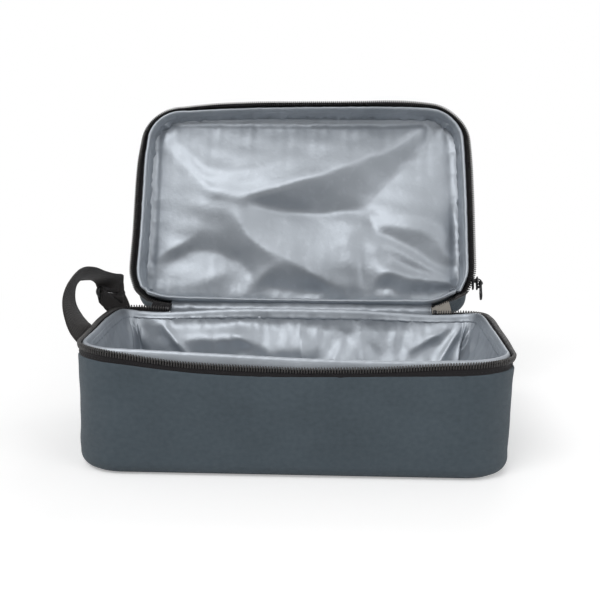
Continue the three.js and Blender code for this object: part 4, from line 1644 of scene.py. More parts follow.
@dataclass
class Slider:
    """Zip slider and its pull on the right edge of the lid.

    Attributes:
        back: Distance of its middle from the lid's back.
        back_run: Length of the outline from its middle to the straight side.
        side_back: Distance of the straight side's back end behind the lid's middle.
    """

    finishes: Finishes
    lid: LidHalf
    zip_half: ZipHalf
    back: float = 22.0
    length: float = 11.0
    width: float = 8.0
    plate: float = 1.1
    pull_width: float = 7.0
    pull_thick: float = 1.6
    teeth_half: float = 0.9
    clearance: float = 0.3
    teeth_x: float = 148.9
    teeth_z: float = 39.0
    back_run: float = 159.13
    side_back: float = 80.0

    SHIELD: ClassVar[Knots] = (
        (-1.0, -0.55), (-0.8, -0.72), (-0.2, -0.85), (0.3, -1.0), (0.8, -1.0), (1.0, -0.8), (1.0, -0.3),
        (0.82, 0.0), (1.0, 0.3), (1.0, 0.8), (0.8, 1.0), (0.3, 1.0), (-0.2, 0.85), (-0.8, 0.72),
        (-1.0, 0.55), (-1.06, 0.0))
    EYE: ClassVar[float] = -10.4

    def frame(self) -> tuple[np.ndarray, np.ndarray, np.ndarray, np.ndarray]:
        """Where the slider stands on the teeth.

        Returns:
            Its middle, and its out, along and over directions.
        """
        v = self.back - self.lid.outline.half_d
        s = self.lid.length - self.back_run - (v + self.side_back)
        x = self.teeth_x + float(self.zip_half.turn(np.array(s)))
        middle = self.lid.to_world(np.array(x), np.array(v), np.array(self.teeth_z))
        axes = [self.lid.turn @ np.array(a) for a in ((1, 0, 0), (0, 1, 0), (0, 0, 1))]
        return middle, axes[0], axes[1], axes[2]

    def slab(self, outline: Sequence[tuple[float, float]], low: float, high: float, bevel: float,
             hole: Sequence[tuple[float, float]] = ()) -> Surface:
        """Plate with rounded edges.

        Args:
            outline: Along and over of each corner.
            low: Inner face, measured out from the teeth's middle.
            high: Outer face.
            bevel: Size of the rounded edge.
            hole: An inner outline with the same count of corners.

        Returns:
            The plate.
        """
        middle, out, along, over = self.frame()
        ring = np.array(outline)
        inner = np.array(hole) if len(hole) else None
        centre = ring.mean(axis=0)

        def level(points: np.ndarray, at: float, shrink: float, about: np.ndarray) -> np.ndarray:
            """One ring of the plate at a height, drawn in by shrink."""
            away = points - about
            size = np.linalg.norm(away, axis=1, keepdims=True)
            p = about + away * (1.0 - shrink / np.maximum(size, 1e-6))
            return middle + out * at + along * p[:, :1] + over * p[:, 1:]

        steps = [(low, bevel), (low + 0.3 * bevel, 0.3 * bevel), (low + bevel, 0.0), (high - bevel, 0.0),
                 (high - 0.3 * bevel, 0.3 * bevel), (high, bevel)]
        rows = [level(ring, at, shrink, centre) for at, shrink in steps]
        if inner is None:
            return capped(np.array(rows))
        about = inner.mean(axis=0)
        rows += [level(inner, at, -shrink, about) for at, shrink in steps[::-1]]
        return loft(np.array(rows), True, loop=True)

    def body(self, face: float, pin: float) -> bpy.types.Object:
        """Two plates round the teeth, their post, and the bridge that holds the pull.

        Args:
            face: Inner face of the plates, out from the teeth's middle.
            pin: Height of the pull's pin.

        Returns:
            The slider.
        """
        middle, out, along, over = self.frame()
        half_l, half_w = self.length / 2, self.width / 2
        shield = [(half_l * c, half_w * w) for c, w in self.SHIELD]
        post = [(half_l * c, 0.5 * w) for c, w in ((0.1, -1), (0.75, -1), (0.75, 1), (0.1, 1))]
        parts = [self.slab(shield, face, face + self.plate, 0.35),
                 self.slab(shield, -face - self.plate, -face, 0.35), self.slab(post, -face, face, 0.1)]
        arch = []
        for a in np.linspace(0.0, math.pi, 13):
            rise = face + self.plate * 0.6 + 3.6 * math.sin(a)
            arch.append(middle + out * rise + along * (-3.4 * math.cos(a)))
        for over_at in (-2.5, 2.5):
            parts.append(tubes(np.array([arch]) + over * over_at, over[None, :], 0.62, 8))
        bar = np.array([[middle + out * pin + over * o for o in np.linspace(-2.5, 2.5, 5)]])
        parts.append(tubes(bar, out[None, :], 0.85, 10))
        piece = Surface.joined(parts).to_object("slider_body", self.finishes.metal)
        return fit_out(piece, "zip_slider", "zip_metal", "zip_slider")

    def pull(self, pin: float) -> bpy.types.Object:
        """Waisted tab with an eye, and the sleeve that turns on the pin.

        Args:
            pin: Height of its pin.

        Returns:
            The pull.
        """
        middle, out, along, over = self.frame()
        outer, inner, rim = [], [], []
        for a in np.linspace(0.0, 2.0 * math.pi, 40, endpoint=False):
            c, d = math.cos(a), math.sin(a)
            half_w = self.pull_width / 2 * (1.0 - 0.34 * math.exp(-((c - 0.55) / 0.5) ** 2))
            outer.append((-6.1 + 8.7 * math.copysign(abs(c) ** 0.72, c),
                          half_w * math.copysign(abs(d) ** 0.8, d)))
            inner.append((self.EYE + 2.2 * c, 1.7 * d))
        tab = self.slab(outer, pin - self.pull_thick / 2, pin + self.pull_thick / 2, 0.4, inner)
        sleeve = np.array([[middle + out * pin + over * o for o in np.linspace(-1.65, 1.65, 5)]])
        for a in np.linspace(0.0, 2.0 * math.pi, 24, endpoint=False):
            rim.append(middle + out * (pin + 0.55) + along * (self.EYE + 2.9 * math.cos(a))
                       + over * (2.4 * math.sin(a)))
        parts = [tab, tubes(sleeve, out[None, :], 1.9, 12),
                 tubes(np.array([rim]), out[None, :], 0.45, 6, loop=True)]
        piece = Surface.joined(parts).to_object("pull_tab", self.finishes.metal)
        return fit_out(piece, "zip_pull", "zip_metal", "zip_pull")

    def build(self) -> list[bpy.types.Object]:
        """Makes the slider and the pull.

        Returns:
            Both pieces.
        """
        face = self.teeth_half + self.clearance
        pin = face + self.plate + 2.6
        return [self.body(face, pin), self.pull(pin)]


@dataclass
class CarryStrap:
    """Webbing strap on the left, its ring, and the tab that holds the ring.

    Attributes:
        patch_s: Place of the strap's sewn front end along the outline.
        tab_s: Place of the tab.
        bar_r: Radius of the ring's bars.
        ring_span: Length of the ring along its bars.
        ring_rise: Distance between its two bars.
        ring_low: Middle of its lower bar.
        PATH: Stations of the strap's loop: its middle and the direction across.
    """

    finishes: Finishes
    base: BaseHalf
    width: float = 25.0
    thick: float = 1.5
    patch_s: float = 269.1
    tab_s: float = 151.4
    bar_r: float = 1.75
    tab_thick: float = 1.3
    ring_span: float = 28.0
    ring_rise: float = 6.85
    ring_low: Point = (-163.3, 86.2, 91.4)

    PATH: ClassVar[Sequence[tuple[float, ...]]] = (
        (-157.7, -29.1, 85.9, -.37, -.93, -.01), (-161.4, -26.9, 91.9, -.41, -.89, .21),
        (-164.5, -23.4, 97.3, -.4, -.8, .45), (-166.7, -18.6, 102.1, -.33, -.68, .65),
        (-168.1, -12.8, 106.4, -.18, -.55, .81), (-169.1, -6.1, 110.0, .01, -.42, .91),
        (-169.9, 1.4, 113.0, .19, -.29, .94), (-170.6, 9.4, 115.2, .37, -.17, .91),
        (-170.8, 18.0, 116.4, .56, -.09, .82), (-170.4, 26.9, 116.8, .75, -.07, .66),
        (-170.0, 36.4, 116.5, .87, -.11, .47), (-169.2, 46.5, 115.0, .93, -.10, .34),
        (-168.4, 56.6, 113.3, .95, -.02, .26), (-167.2, 67.0, 111.5, .96, .03, .2),
        (-165.6, 76.6, 109.6, .96, .08, .16), (-163.8, 82.8, 107.0, .93, .2, .14),
        (-162.6, 85.6, 103.6, .84, .5, -.02))

    def axes(self) -> tuple[np.ndarray, np.ndarray, np.ndarray]:
        """How the ring is turned.

        Returns:
            Direction of its bars, the way up between them, and its face.
        """
        along = np.array([0.59, 0.78, -0.2])
        along /= np.linalg.norm(along)
        up = np.array([-0.1, 0.1, 0.99])
        up -= along * float(up @ along)
        up /= np.linalg.norm(up)
        return along, up, np.cross(along, up)

    def section(self, thick: float) -> np.ndarray:
        """Points round the webbing's section.

        Args:
            thick: Thickness of the webbing.

        Returns:
            Place across, and height off its middle.
        """
        half, t = self.width / 2, thick / 2
        flat = np.linspace(-1.0, 1.0, 13) * (half - 0.9)
        face = [(a, t * (1.0 + 0.10 * (abs(a) > half - 3.0))) for a in flat]
        edge = [(half - 0.25, 0.75 * t), (half, 0.0), (half - 0.25, -0.75 * t)]
        return np.array(face + edge + [(-a, -b) for a, b in face + edge])

    def webbing(self, middle: np.ndarray, across: np.ndarray, thick: float, bend: Numbers = 0.0) -> Surface:
        """Flat ribbon with rounded selvedges.

        Args:
            middle: Stations of its middle line.
            across: Direction across at each station.
            thick: Its thickness.
            bend: How far each point is moved to follow what it lies on.

        Returns:
            The ribbon.
        """
        along = np.gradient(middle, axis=0)
        along /= np.linalg.norm(along, axis=1, keepdims=True)
        across = across - along * np.sum(across * along, axis=1, keepdims=True)
        across /= np.linalg.norm(across, axis=1, keepdims=True)
        out = np.cross(along, across)
        return capped(np.stack([middle + across * a + out * b for a, b in self.section(thick)], axis=1) + bend)

    def wall_line(self, s: float, heights: Sequence[float], off: float) -> tuple[np.ndarray, np.ndarray]:
        """Stations up the outside of the wall.

        Args:
            s: Place along the outline.
            heights: Their heights.
            off: How far they stand off the wall.

        Returns:
            The stations, and the direction along the wall there.
        """
        z = np.array(heights, float)
        middle = self.base.place(np.array(s), -off, z)
        ahead = self.base.place(np.array(s + 4.0), -off, z) - self.base.place(np.array(s - 4.0), -off, z)
        return middle, ahead

    def strap(self) -> bpy.types.Object:
        """Strap from its sewn front end, over its loop, round the ring's upper bar and back on itself.

        Returns:
            The strap.
        """
        along, up, face = self.axes()
        wall, ahead = self.wall_line(self.patch_s, (41.0, 48.0, 55.0, 62.0, 69.0), 1.1)
        path = np.array(self.PATH)
        top = np.array(self.ring_low) + up * self.ring_rise
        radius = self.bar_r + 0.25 + self.thick / 2
        wrap = np.array([np.concatenate([top + radius * (face * math.cos(a) - up * math.sin(a)), along])
                         for a in np.radians((-15.0, 20.0, 55.0, 90.0, 135.0, 170.0, 200.0))])
        stations = np.concatenate([np.column_stack([wall, ahead]), path, wrap])
        stations[:, 3:] /= np.linalg.norm(stations[:, 3:], axis=1, keepdims=True)
        fine = through(stations, 280)
        surface = self.webbing(fine[:, :3], fine[:, 3:], self.thick)
        piece = surface.to_object("strap_webbing", self.finishes.webbing)
        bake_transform(piece)
        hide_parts("carry_strap", "strap_patch")
        return piece

    def box_stitch(self, name: str, s: float, top: float, off: float) -> bpy.types.Object:
        """Crossed box of stitches through a sewn end.

        Args:
            name: Piece name.
            s: Place of its middle along the outline.
            top: Height of its upper row.
            off: How far the webbing's face stands off the wall.

        Returns:
            The stitches.
        """
        corners = [(-10.0, 44.0), (10.0, 44.0), (10.0, top), (-10.0, top), (-10.0, 44.0), (10.0, top),
                   (10.0, 44.0), (-10.0, top)]
        marks = []
        for (a0, z0), (a1, z1) in zip(corners[:-1], corners[1:]):
            run = np.array([a1 - a0, z1 - z0])
            count = int(np.hypot(*run) / 2.8)
            for i in range(count):
                t = (i + np.array([0.12, 0.3, 0.65, 0.85])) / count
                marks.append(np.column_stack([a0 + run[0] * t, z0 + run[1] * t]))
        marks = np.array(marks)
        rise = off + np.array([-0.1, 0.15, 0.15, -0.1])[None, :]
        place, z = s + marks[:, :, 0], marks[:, :, 1]
        path = self.base.place(place, -rise, z)
        normal = (self.base.place(place, -rise - 1.0, z) - path).mean(axis=1)
        piece = tubes(path, normal, 0.26).to_object(name, self.finishes.webbing)
        return fit_out(piece, "base", "webbing")

    def ring(self) -> bpy.types.Object:
        """Moulded rectangular ring.

        Returns:
            The ring.
        """
        along, up, face = self.axes()
        centre = np.array(self.ring_low) + up * self.ring_rise / 2
        path, corner = [], 3.4
        for su, sv, start in ((1, 1, 0), (-1, 1, 90), (-1, -1, 180), (1, -1, 270)):
            for a in np.radians(np.linspace(start, start + 90, 9)):
                path.append(centre + along * (su * (self.ring_span / 2 - corner) + corner * math.cos(a))
                            + up * (sv * (self.ring_rise / 2 - corner) + corner * math.sin(a)))
        surface = tubes(np.array([path]), face[None, :], self.bar_r, 14, loop=True)
        piece = surface.to_object("ring_moulding", self.finishes.plastic)
        return fit_out(piece, "strap", "ring_plastic", "strap_ring")

    def tab(self) -> bpy.types.Object:
        """Doubled webbing tab from the back corner up to the ring's lower bar.

        Returns:
            The tab.
        """
        along, up, face = self.axes()
        low = np.array(self.ring_low)
        radius = self.bar_r + 0.2 + self.tab_thick / 2
        turned = np.array([low + radius * (up * math.sin(a) - face * math.cos(a))
                           for a in np.radians((-25.0, 15.0, 55.0, 90.0, 125.0, 165.0, 205.0))])
        layers = []
        for off, heights in ((2.4, (41.0, 48.0, 55.0, 62.0, 68.0)), (1.0, (46.0, 54.0, 62.0, 68.0))):
            wall, ahead = self.wall_line(self.tab_s, heights, off)
            clear = self.base.place(np.array([self.tab_s]), -2.1 - off, 80.0, Level.ZIP)
            layers.append(np.column_stack([np.concatenate([wall, clear]),
                                           np.concatenate([-ahead, -ahead[-1:]])]))
        wrap = np.column_stack([turned, np.tile(along, (len(turned), 1))])
        stations = np.concatenate([layers[0], wrap, layers[1][::-1]])
        stations[:, 3:] /= np.linalg.norm(stations[:, 3:], axis=1, keepdims=True)
        fine = through(stations, 170)
        across = self.section(self.tab_thick)[:, :1]
        corner = self.base.place(self.tab_s - np.append(across, 0.0), -1.7, 55.0)
        ahead = self.wall_line(self.tab_s, (55.0,), 1.7)[1][0]
        hug = corner[:-1] - corner[-1] + across * ahead / np.linalg.norm(ahead)
        held = 1.0 - ease(66.0, 84.0, fine[:, 2])
        surface = self.webbing(fine[:, :3], fine[:, 3:6], self.tab_thick, held[:, None, None] * hug[None])
        piece = surface.to_object("tab_webbing", self.finishes.webbing)
        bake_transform(piece)
        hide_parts("strap_tab")
        return piece

    def build(self) -> list[bpy.types.Object]:
        """Makes the strap's pieces."""
        return [self.strap(),
                self.box_stitch("strap_stitches", self.patch_s, 66.0, 1.85),
                self.ring(), self.tab(),
                self.box_stitch("tab_stitches", self.tab_s, 62.0, 3.05)]


# Studio


@dataclass
class Studio:
    """Camera, lamps, world and floor.

    Attributes:
        eye: Camera place, millimetres.
        yaw: Degrees to the right of plus Y.
        pitch: Degrees down.
        roll: Degrees.
        focal_px: Focal length in pixels of the picture.
        picture: Width of the picture in pixels.
        ambient: Strength of the surroundings as a light.
        sensor: Width of the camera's sensor, millimetres.
        floor_half: Half the floor's size, metres.
        floor_z: Its height, just under the bag.
    """

    eye: Point = (21.016, -672.111, 221.293)
    yaw: float = -1.62408
    pitch: float = 9.75941
    roll: float = 0.54202
    focal_px: float = 900.815
    picture: float = 600.0
    ambient: float = 0.4
    sensor: float = 36.0
    floor_half: float = 6.0
    floor_z: float = -0.0004

    def axes(self) -> tuple[np.ndarray, np.ndarray, np.ndarray]:
        """How the camera is turned.

        Returns:
            Its right, up and viewing directions.
        """
        yaw, pitch, roll = (math.radians(a) for a in (self.yaw, self.pitch, self.roll))
        ahead = np.array([math.sin(yaw) * math.cos(pitch), math.cos(yaw) * math.cos(pitch), -math.sin(pitch)])
        right = np.array([math.cos(yaw), -math.sin(yaw), 0.0])
        up = np.cross(right, ahead)
        return (math.cos(roll) * right + math.sin(roll) * up,
                math.cos(roll) * up - math.sin(roll) * right, ahead)

    def sight(self, x: float, y: float) -> np.ndarray:
        """Direction in which the camera sees a pixel of the picture."""
        right, up, ahead = self.axes()
        return ahead + ((x - self.picture / 2) * right - (y - self.picture / 2) * up) / self.focal_px

    def camera(self) -> None:
        """Adds the camera at the photograph's place."""
        data = bpy.data.cameras.new("camera")
        data.sensor_width = self.sensor
        data.lens = self.focal_px * self.sensor / self.picture
        right, up, ahead = self.axes()
        turn = Matrix((right, up, -ahead)).transposed().to_4x4()
        eye = bpy.data.objects.new("camera", data)
        eye.matrix_world = Matrix.Translation(Vector(self.eye) * MM) @ turn
        bpy.context.scene.collection.objects.link(eye)
        bpy.context.scene.camera = eye

    def lamp(self, name: str, place: Point, aim: Point, size: tuple[float, float], power: float) -> None:
        """Adds one soft box.

        Args:
            name: Lamp name.
            place: Where it stands, metres.
            aim: What it points at, metres.
            size: Width and height, metres.
            power: Watts.
        """
        data = bpy.data.lights.new(name, "AREA")
        data.shape = "RECTANGLE"
        data.size, data.size_y = size
        data.energy = power
        box = bpy.data.objects.new(name, data)
        box.location = place
        box.rotation_euler = (Vector(aim) - Vector(place)).to_track_quat("-Z", "Y").to_euler()
        bpy.context.scene.collection.objects.link(box)

    def surroundings(self) -> None:
        """White surroundings, seen as white, lighting the bag gently."""
        world = bpy.data.worlds.new("studio")
        bpy.context.scene.world = world
        world.use_nodes = True
        nodes = Nodes(world.node_tree)
        dim = nodes.add("ShaderNodeBackground", {0: (1.0, 1.0, 1.0, 1.0), 1: self.ambient})
        white = nodes.add("ShaderNodeBackground", {0: (1.0, 1.0, 1.0, 1.0), 1: 1.0})
        mix = nodes.add("ShaderNodeMixShader", {0: nodes.seen(), 1: dim.outputs[0], 2: white.outputs[0]})
        nodes.add("ShaderNodeOutputWorld", {0: mix.outputs[0]})

    @staticmethod
    def stand(name: str, corners: Sequence[Point], material: bpy.types.Material) -> bpy.types.Object:
        """Adds one flat piece of the studio.

        Args:
            name: Its name.
            corners: Its four corners, metres.
            material: Its finish.

        Returns:
            The new object.
        """
        mesh = bpy.data.meshes.new(name)
        mesh.from_pydata(corners, [], [(0, 1, 2, 3)])
        mesh.materials.append(material)
        piece = bpy.data.objects.new(name, mesh)
        bpy.context.scene.collection.objects.link(piece)
        return piece

    def floor(self) -> None:
        """Pale floor that keeps the bag's shadow."""
        material, nodes = new_material("pale_floor")
        seen = nodes.seen()
        place = nodes.add("ShaderNodeTexCoord").outputs["Object"]
        away = nodes.add("ShaderNodeVectorMath", {0: place}, operation="LENGTH").outputs["Value"]
        fade = nodes.add("ShaderNodeMapRange", {0: away, 1: 0.25, 2: 0.75}, interpolation_type="SMOOTHSTEP")
        paper = nodes.add("ShaderNodeBsdfDiffuse", {0: (0.86, 0.86, 0.86, 1.0)})
        lift = nodes.add("ShaderNodeEmission", {0: (1.0, 1.0, 1.0, 1.0), 1: nodes.math("MULTIPLY", seen, 0.36)})
        both = nodes.add("ShaderNodeAddShader", {0: paper.outputs[0], 1: lift.outputs[0]})
        white = nodes.add("ShaderNodeEmission", {0: (1.0, 1.0, 1.0, 1.0), 1: 1.0})
        far = nodes.math("MULTIPLY", seen, fade.outputs[0])
        mixed = nodes.add("ShaderNodeMixShader", {0: far, 1: both.outputs[0], 2: white.outputs[0]})
        nodes.add("ShaderNodeOutputMaterial", {0: mixed.outputs[0]})
        size, z = self.floor_half, self.floor_z
        self.stand("floor", [(-size, -size, z), (size, -size, z), (size, size, z), (-size, size, z)], material)

    def flag(self) -> None:
        """Dark cloth behind the camera, for the film to mirror beside the lamps."""
        material, nodes = new_material("dark_cloth")
        cloth = nodes.add("ShaderNodeBsdfDiffuse", {0: (0.03, 0.03, 0.035, 1.0)})
        nodes.add("ShaderNodeOutputMaterial", {0: cloth.outputs[0]})
        corners = [(-1.8, -1.7, 0.0), (1.8, -1.7, 0.0), (1.8, -1.7, 0.85), (-1.8, -1.7, 0.85)]
        self.stand("flag", corners, material).visible_camera = False

    def build(self) -> None:
        """Sets up the whole studio."""
        bpy.context.scene.view_settings.view_transform = "Standard"
        self.camera()
        self.surroundings()
        self.floor()
        self.flag()
        self.lamp("key_box", (-0.7, -1.3, 1.75), (0.0, 0.0, 0.1), (1.3, 0.9), 20.0)
        self.lamp("fill_box", (1.2, -1.1, 0.9), (0.0, 0.0, 0.1), (0.9, 0.9), 5.0)
        self.lamp("back_box", (0.3, 1.6, 1.4), (0.0, 0.1, 0.1), (1.2, 0.8), 8.0)


@dataclass
class FoldReader:
    """Finds where folds that were read on the photograph lie on the lid's film.

    Attributes:
        lid: The lid, with its film as it was taken to hang.
        studio: Has the photograph's camera.
        gain: Factor on the heights that were read.
        rounds: How often place and height are brought together.
    """

    lid: LidHalf
    studio: Studio
    gain: float
    rounds: int = 12

    def place(self, view: View, x: float, y: float, height: float) -> tuple[float, float]:
        """Follows the camera's sight to the film.

        Args:
            view: The enlargement that the point was read on.
            x: Its pixels from the left.
            y: Its pixels from the top.
            height: How far the fold stands off the film there.

        Returns:
            Place across and from back to front, in whole millimetres.
        """
        left, top, zoom = view.value
        eye = self.lid.from_world(self.studio.eye)
        sight = self.studio.sight(left + x / zoom, top + y / zoom) @ self.lid.turn
        at, z = eye, self.lid.film_mid + self.gain * height
        for _ in range(self.rounds):
            at = eye + sight * (z - eye[2]) / sight[2]
            z = 0.5 * (z + float(self.lid.film_floor(at[0], at[1])) + self.gain * height)
        return float(round(at[0])), float(round(at[1]))

    def lines(self) -> tuple[tuple[Point, ...], ...]:
        """All the folds, each with the heights to which it has settled.

        Returns:
            Lines of x, v and height above the flat film.
        """
        made = []
        for name, parts in LID_FOLDS.items():
            read = [(view, *point) for view, points in parts.items() for point in points]
            heights = LID_SETTLED.get(name, [point[3] for point in read])
            made.append(tuple((*self.place(*point), h) for point, h in zip(read, heights)))
        return tuple(made)


BASE_CREASES = (
    Crease((149.0, 78.0), (146.0, 30.0), 6.0, 3.6),
    Crease((152.0, 76.0), (170.0, 46.0), 3.5, 4.0),
    Crease((142.0, 76.0), (134.0, 52.0), 3.0, 4.0),
    Crease((122.0, 73.0), (92.0, 38.0), 4.5, 4.5),
    Crease((60.0, 64.0), (20.0, 40.0), 2.0, 12.0),
    Crease((905.0, 55.0), (925.0, 20.0), 2.5, 6.0),
    Crease((799.0, 77.0), (806.0, 34.0), 5.5, 3.2),
    Crease((803.0, 76.0), (826.0, 36.0), 4.5, 3.4),
    Crease((808.0, 74.0), (846.0, 50.0), 3.0, 4.5),
    Crease((796.0, 75.0), (780.0, 40.0), 4.0, 3.4),
    Crease((792.0, 74.0), (765.0, 52.0), 2.5, 4.0),
    Crease((250.0, 70.0), (215.0, 20.0), 3.0, 9.0),
    Crease((690.0, 70.0), (730.0, 24.0), 3.0, 9.0),
    Crease((778.0, 76.0), (738.0, 40.0), 4.0, 5.0),
    Crease((752.0, 74.0), (706.0, 44.0), 3.5, 6.0),
)
BASE_SAG = (
    (0, 12), (60, 9), (100, 8), (124, 5), (140, 1), (160, 2), (200, 5), (260, 3), (301, 1), (330, 0),
    (620, 0), (640, 1), (690, 6), (750, 11), (785, 12), (803, 12), (818, 13), (850, 15), (900, 15))
BASE_DROP = (
    (0, 24), (60, 19), (120, 20), (159, 24), (300, 30), (640, 30), (740, 44), (782, 44), (815, 42), (850, 44),
    (900, 42))
LID_SAG = ((0, 0), (400, 0))
LID_DROP = ((0, 10), (400, 10))
LID_CREASES = (
    Crease((330.0, 34.0), (338.0, 8.0), 2.5, 4.0),
    Crease((612.0, 34.0), (604.0, 8.0), 2.5, 4.0),
    Crease((148.0, 34.0), (152.0, 10.0), 2.0, 4.0),
    Crease((794.0, 34.0), (790.0, 10.0), 2.0, 4.0),
)
LID_FOLDS: dict[str, dict[View, Sequence[Point]]] = {
    "upper ridge": {View.LEFT: ((820, 735, 12), (1120, 655, 13), (1270, 600, 13.5)),
        View.RIGHT: ((200, 545, 13.5), (400, 470, 12.5), (550, 415, 11), (700, 350, 9), (850, 235, 6),
        (960, 140, 2))},
    "dark valley": {View.LEFT: ((910, 765, 9), (1000, 800, 5), (1150, 838, 2), (1270, 845, 0.5)),
        View.RIGHT: ((200, 845, 0), (400, 832, 0.5), (470, 808, 1), (560, 700, 0.5), (700, 560, 0),
        (850, 420, 0), (1000, 250, 0), (1060, 185, 0))},
    "tip of the ridge": {View.LEFT: ((910, 765, 9), (860, 770, 11), (770, 780, 11))},
    "left ridge": {View.LEFT: ((770, 780, 11), (800, 880, 10.5), (880, 1020, 10), (1000, 1110, 9.5),
        (1180, 1190, 9), (1350, 1290, 8)), View.RIGHT: ((150, 1345, 6.5), (300, 1405, 4), (410, 1450, 1))},
    "left arch": {View.LEFT: ((1180, 1190, 9), (1090, 1240, 8), (1010, 1275, 6.5), (940, 1370, 3),
        (890, 1440, 0.5))},
    "middle hollow": {View.LEFT: ((1060, 1400, 0.5), (1250, 1430, 0)), View.RIGHT: ((150, 1440, 0),)},
    "edge of the left hollow": {View.LEFT: ((770, 780, 11), (620, 745, 10.5), (510, 790, 9.5), (540, 900, 8),
        (470, 1040, 6), (330, 1105, 5), (190, 1180, 3))},
    "valley round the left lobe": {View.LEFT: ((160, 1300, 0.5), (230, 1305, 1), (330, 1195, 1.5),
        (450, 1120, 2), (530, 1122, 2), (680, 1145, 1.5), (745, 1190, 1), (780, 1270, 0.5), (800, 1400, 0))},
    "floor of the left hollow": {View.LEFT: ((780, 1170, 1.5), (860, 1240, 1), (900, 1300, 0.5))},
    "left lobe": {View.LEFT: ((160, 1385, 2.5), (300, 1375, 5), (450, 1365, 7), (620, 1310, 7.5),
        (720, 1270, 5))},
    "upper band, valley": {View.LEFT: ((230, 235, 2.2), (400, 410, 5.6), (560, 590, 9.2), (680, 640, 10.9),
        (900, 610, 11.2), (1150, 540, 11), (1400, 470, 10))},
    "upper band, lower edge": {View.LEFT: ((240, 275, 3), (400, 480, 7), (620, 690, 11.5), (720, 705, 12),
        (820, 735, 12))},
    "upper band, upper edge": {View.LEFT: ((330, 300, 4.2), (430, 400, 6.6), (560, 515, 9.4),
        (720, 555, 10.7), (1100, 475, 10.6))},
    "right fold, far crest": {View.CORNER: ((520, 130, 4.6), (700, 110, 6.2), (900, 130, 6.6),
        (1050, 210, 5.6), (1130, 300, 4.4))},
    "right fold, crest": {View.CORNER: ((500, 200, 4.6), (700, 210, 6.8), (880, 250, 6.8), (1000, 340, 5.8),
        (1100, 460, 4.4), (1180, 560, 2.6))},
    "right valley": {View.CORNER: ((345, 100, 1), (400, 270, 2.6), (550, 330, 3.2), (700, 400, 3.4),
        (850, 500, 3.2), (1000, 600, 2.8), (1130, 680, 2), (1300, 770, 0.8))},
    "lower right crest": {View.CORNER: ((470, 360, 4.6), (640, 450, 5.6), (800, 560, 5.6), (950, 640, 4.8),
        (1100, 700, 3.2), (1280, 775, 1.2))},
    "lower right valley": {View.CORNER: ((480, 470, 4.9), (620, 570, 4.5), (760, 640, 4.1), (900, 680, 3.6),
        (1100, 722, 2.5), (1270, 785, 0.9))},
    "right arch": {View.CORNER: ((350, 930, 0.6), (420, 790, 5), (480, 695, 7.6), (540, 665, 8.2),
        (619, 680, 7.8), (700, 718, 7.2), (830, 752, 6.4), (1000, 768, 5.4), (1150, 795, 4),
        (1250, 815, 2.4))},
    "hollow of the right arch": {View.CORNER: ((440, 855, 1), (530, 840, 1), (600, 855, 1))},
    "dome in that hollow": {View.CORNER: ((440, 907, 2), (520, 892, 2.6), (590, 907, 1.8))},
    "streak beside it": {View.CORNER: ((614, 812, 3.4), (655, 835, 3.2), (672, 905, 1))},
    "divide of the arch": {View.CORNER: ((742, 760, 6.6), (742, 830, 3.8), (742, 905, 1))},
    "foot of the arch": {View.CORNER: ((790, 900, 0), (960, 890, 0), (1150, 850, 0))},
    "middle ridge": {View.CORNER: ((330, 190, 3.4), (250, 215, 4.2), (150, 275, 5.2), (125, 340, 5.8),
        (160, 500, 6.4), (220, 680, 5.6), (270, 830, 3.2), (295, 935, 0.8))},
    "middle valley": {View.CORNER: ((300, 420, 4.4), (290, 600, 4.4), (290, 780, 2.8), (305, 935, 0.3))},
    "fan": {View.CORNER: ((430, 430, 5.4), (430, 600, 6.2), (390, 780, 4.2), (330, 935, 0.6))},
}
LID_SETTLED = {"left lobe": (1, 1.9, 2.7, 3.4, 2.6)}
LID_GAIN = 1.3
READ_LID = LidHalf(outline=Outline(front_r=7.3, back_r=7.3), front_hang=7.4, side_hang=5.0, hang_reach=20.0,
                   hang_power=2.5)
BASE_FOLDS = (
    ((-110, -60, 2), (-40, -10, 4), (30, 30, 3), (110, 60, 2)),
    ((-100, 50, 2), (-30, 10, 0), (40, -30, 2), (120, -55, 3)),
)
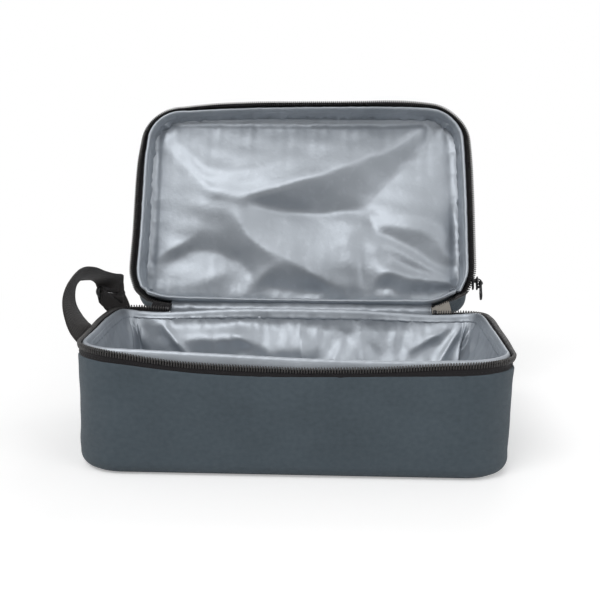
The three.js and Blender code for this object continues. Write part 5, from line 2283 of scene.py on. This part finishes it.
BASE_FLARE = (
    (0, 0), (112, 0.6), (146, 1.6), (200, 2.0), (260, 1.2), (295, 0.2), (330, 0), (600, 0), (625, 0.4),
    (660, 1.4), (760, 2.2), (800, 1.6), (828, 0.6))
LID_FLARE = (
    (0, 0), (112, 0.6), (140, 1.6), (159, 2.4), (260, 2.6), (292, 1.8), (320, 0.8), (350, 0.0), (386, 0.0),
    (440, -0.2), (470, -0.5), (500, -0.1), (525, 0.6), (545, 1.6), (568, 1.9), (590, 1.2), (613, 0.8),
    (632, 1.6), (655, 2.2), (782, 2.2), (800, 1.6), (828, 0.6))


def main() -> None:
    """Sets up the studio, builds the bag piece by piece and reports each piece."""
    logging.basicConfig(level=logging.INFO, format="%(message)s")
    studio = Studio()
    studio.build()
    finishes = Finishes.build()
    base, lid = BaseHalf(), LidHalf()
    folds = FoldReader(READ_LID, studio, LID_GAIN).lines()
    made: list[bpy.types.Object] = [
        *Shell(finishes, base, ("base_outer_wall", "base_bottom_panel", "base_wall_foam", "base_bottom_foam"),
               0.0).build(),
        *Shell(finishes, lid, ("lid_outer_wall", "lid_outer_panel", "lid_wall_foam", "lid_panel_foam"),
               5.0).build(),
        RimRoll(finishes, base, BASE_FLARE, 11).build(),
        RimRoll(finishes, lid, LID_FLARE, 21).build(),
        FilmBand(finishes, base, BASE_CREASES, BASE_SAG, BASE_DROP, 31, 1.1, (0.891, 0.0753)).build(),
        FilmBand(finishes, lid, LID_CREASES, LID_SAG, LID_DROP, 41, 0.6, (0.891, 0.0195)).build(),
        FilmPanel(finishes, base, BASE_FOLDS, 51, (0.284, 0.176), Hold.LAID).build(),
        FilmPanel(finishes, lid, folds, 61, (0.292, 0.184), Hold.HUNG, LID_GAIN).build(),
    ]
    base_zip, lid_zip = ZipHalf(finishes, base, BASE_FLARE), ZipHalf(finishes, lid, LID_FLARE)
    made += base_zip.build() + lid_zip.build()
    made += [ZipFold(finishes, base_zip, lid_zip, side).build() for side in Side]
    made += BackHinge(finishes, lid).build()
    made += Slider(finishes, lid, lid_zip).build()
    made += CarryStrap(finishes, base).build()
    for piece in made:
        LOG.info("%s: %d faces", piece.name, len(piece.data.polygons))


if __name__ == "__main__":
    main()
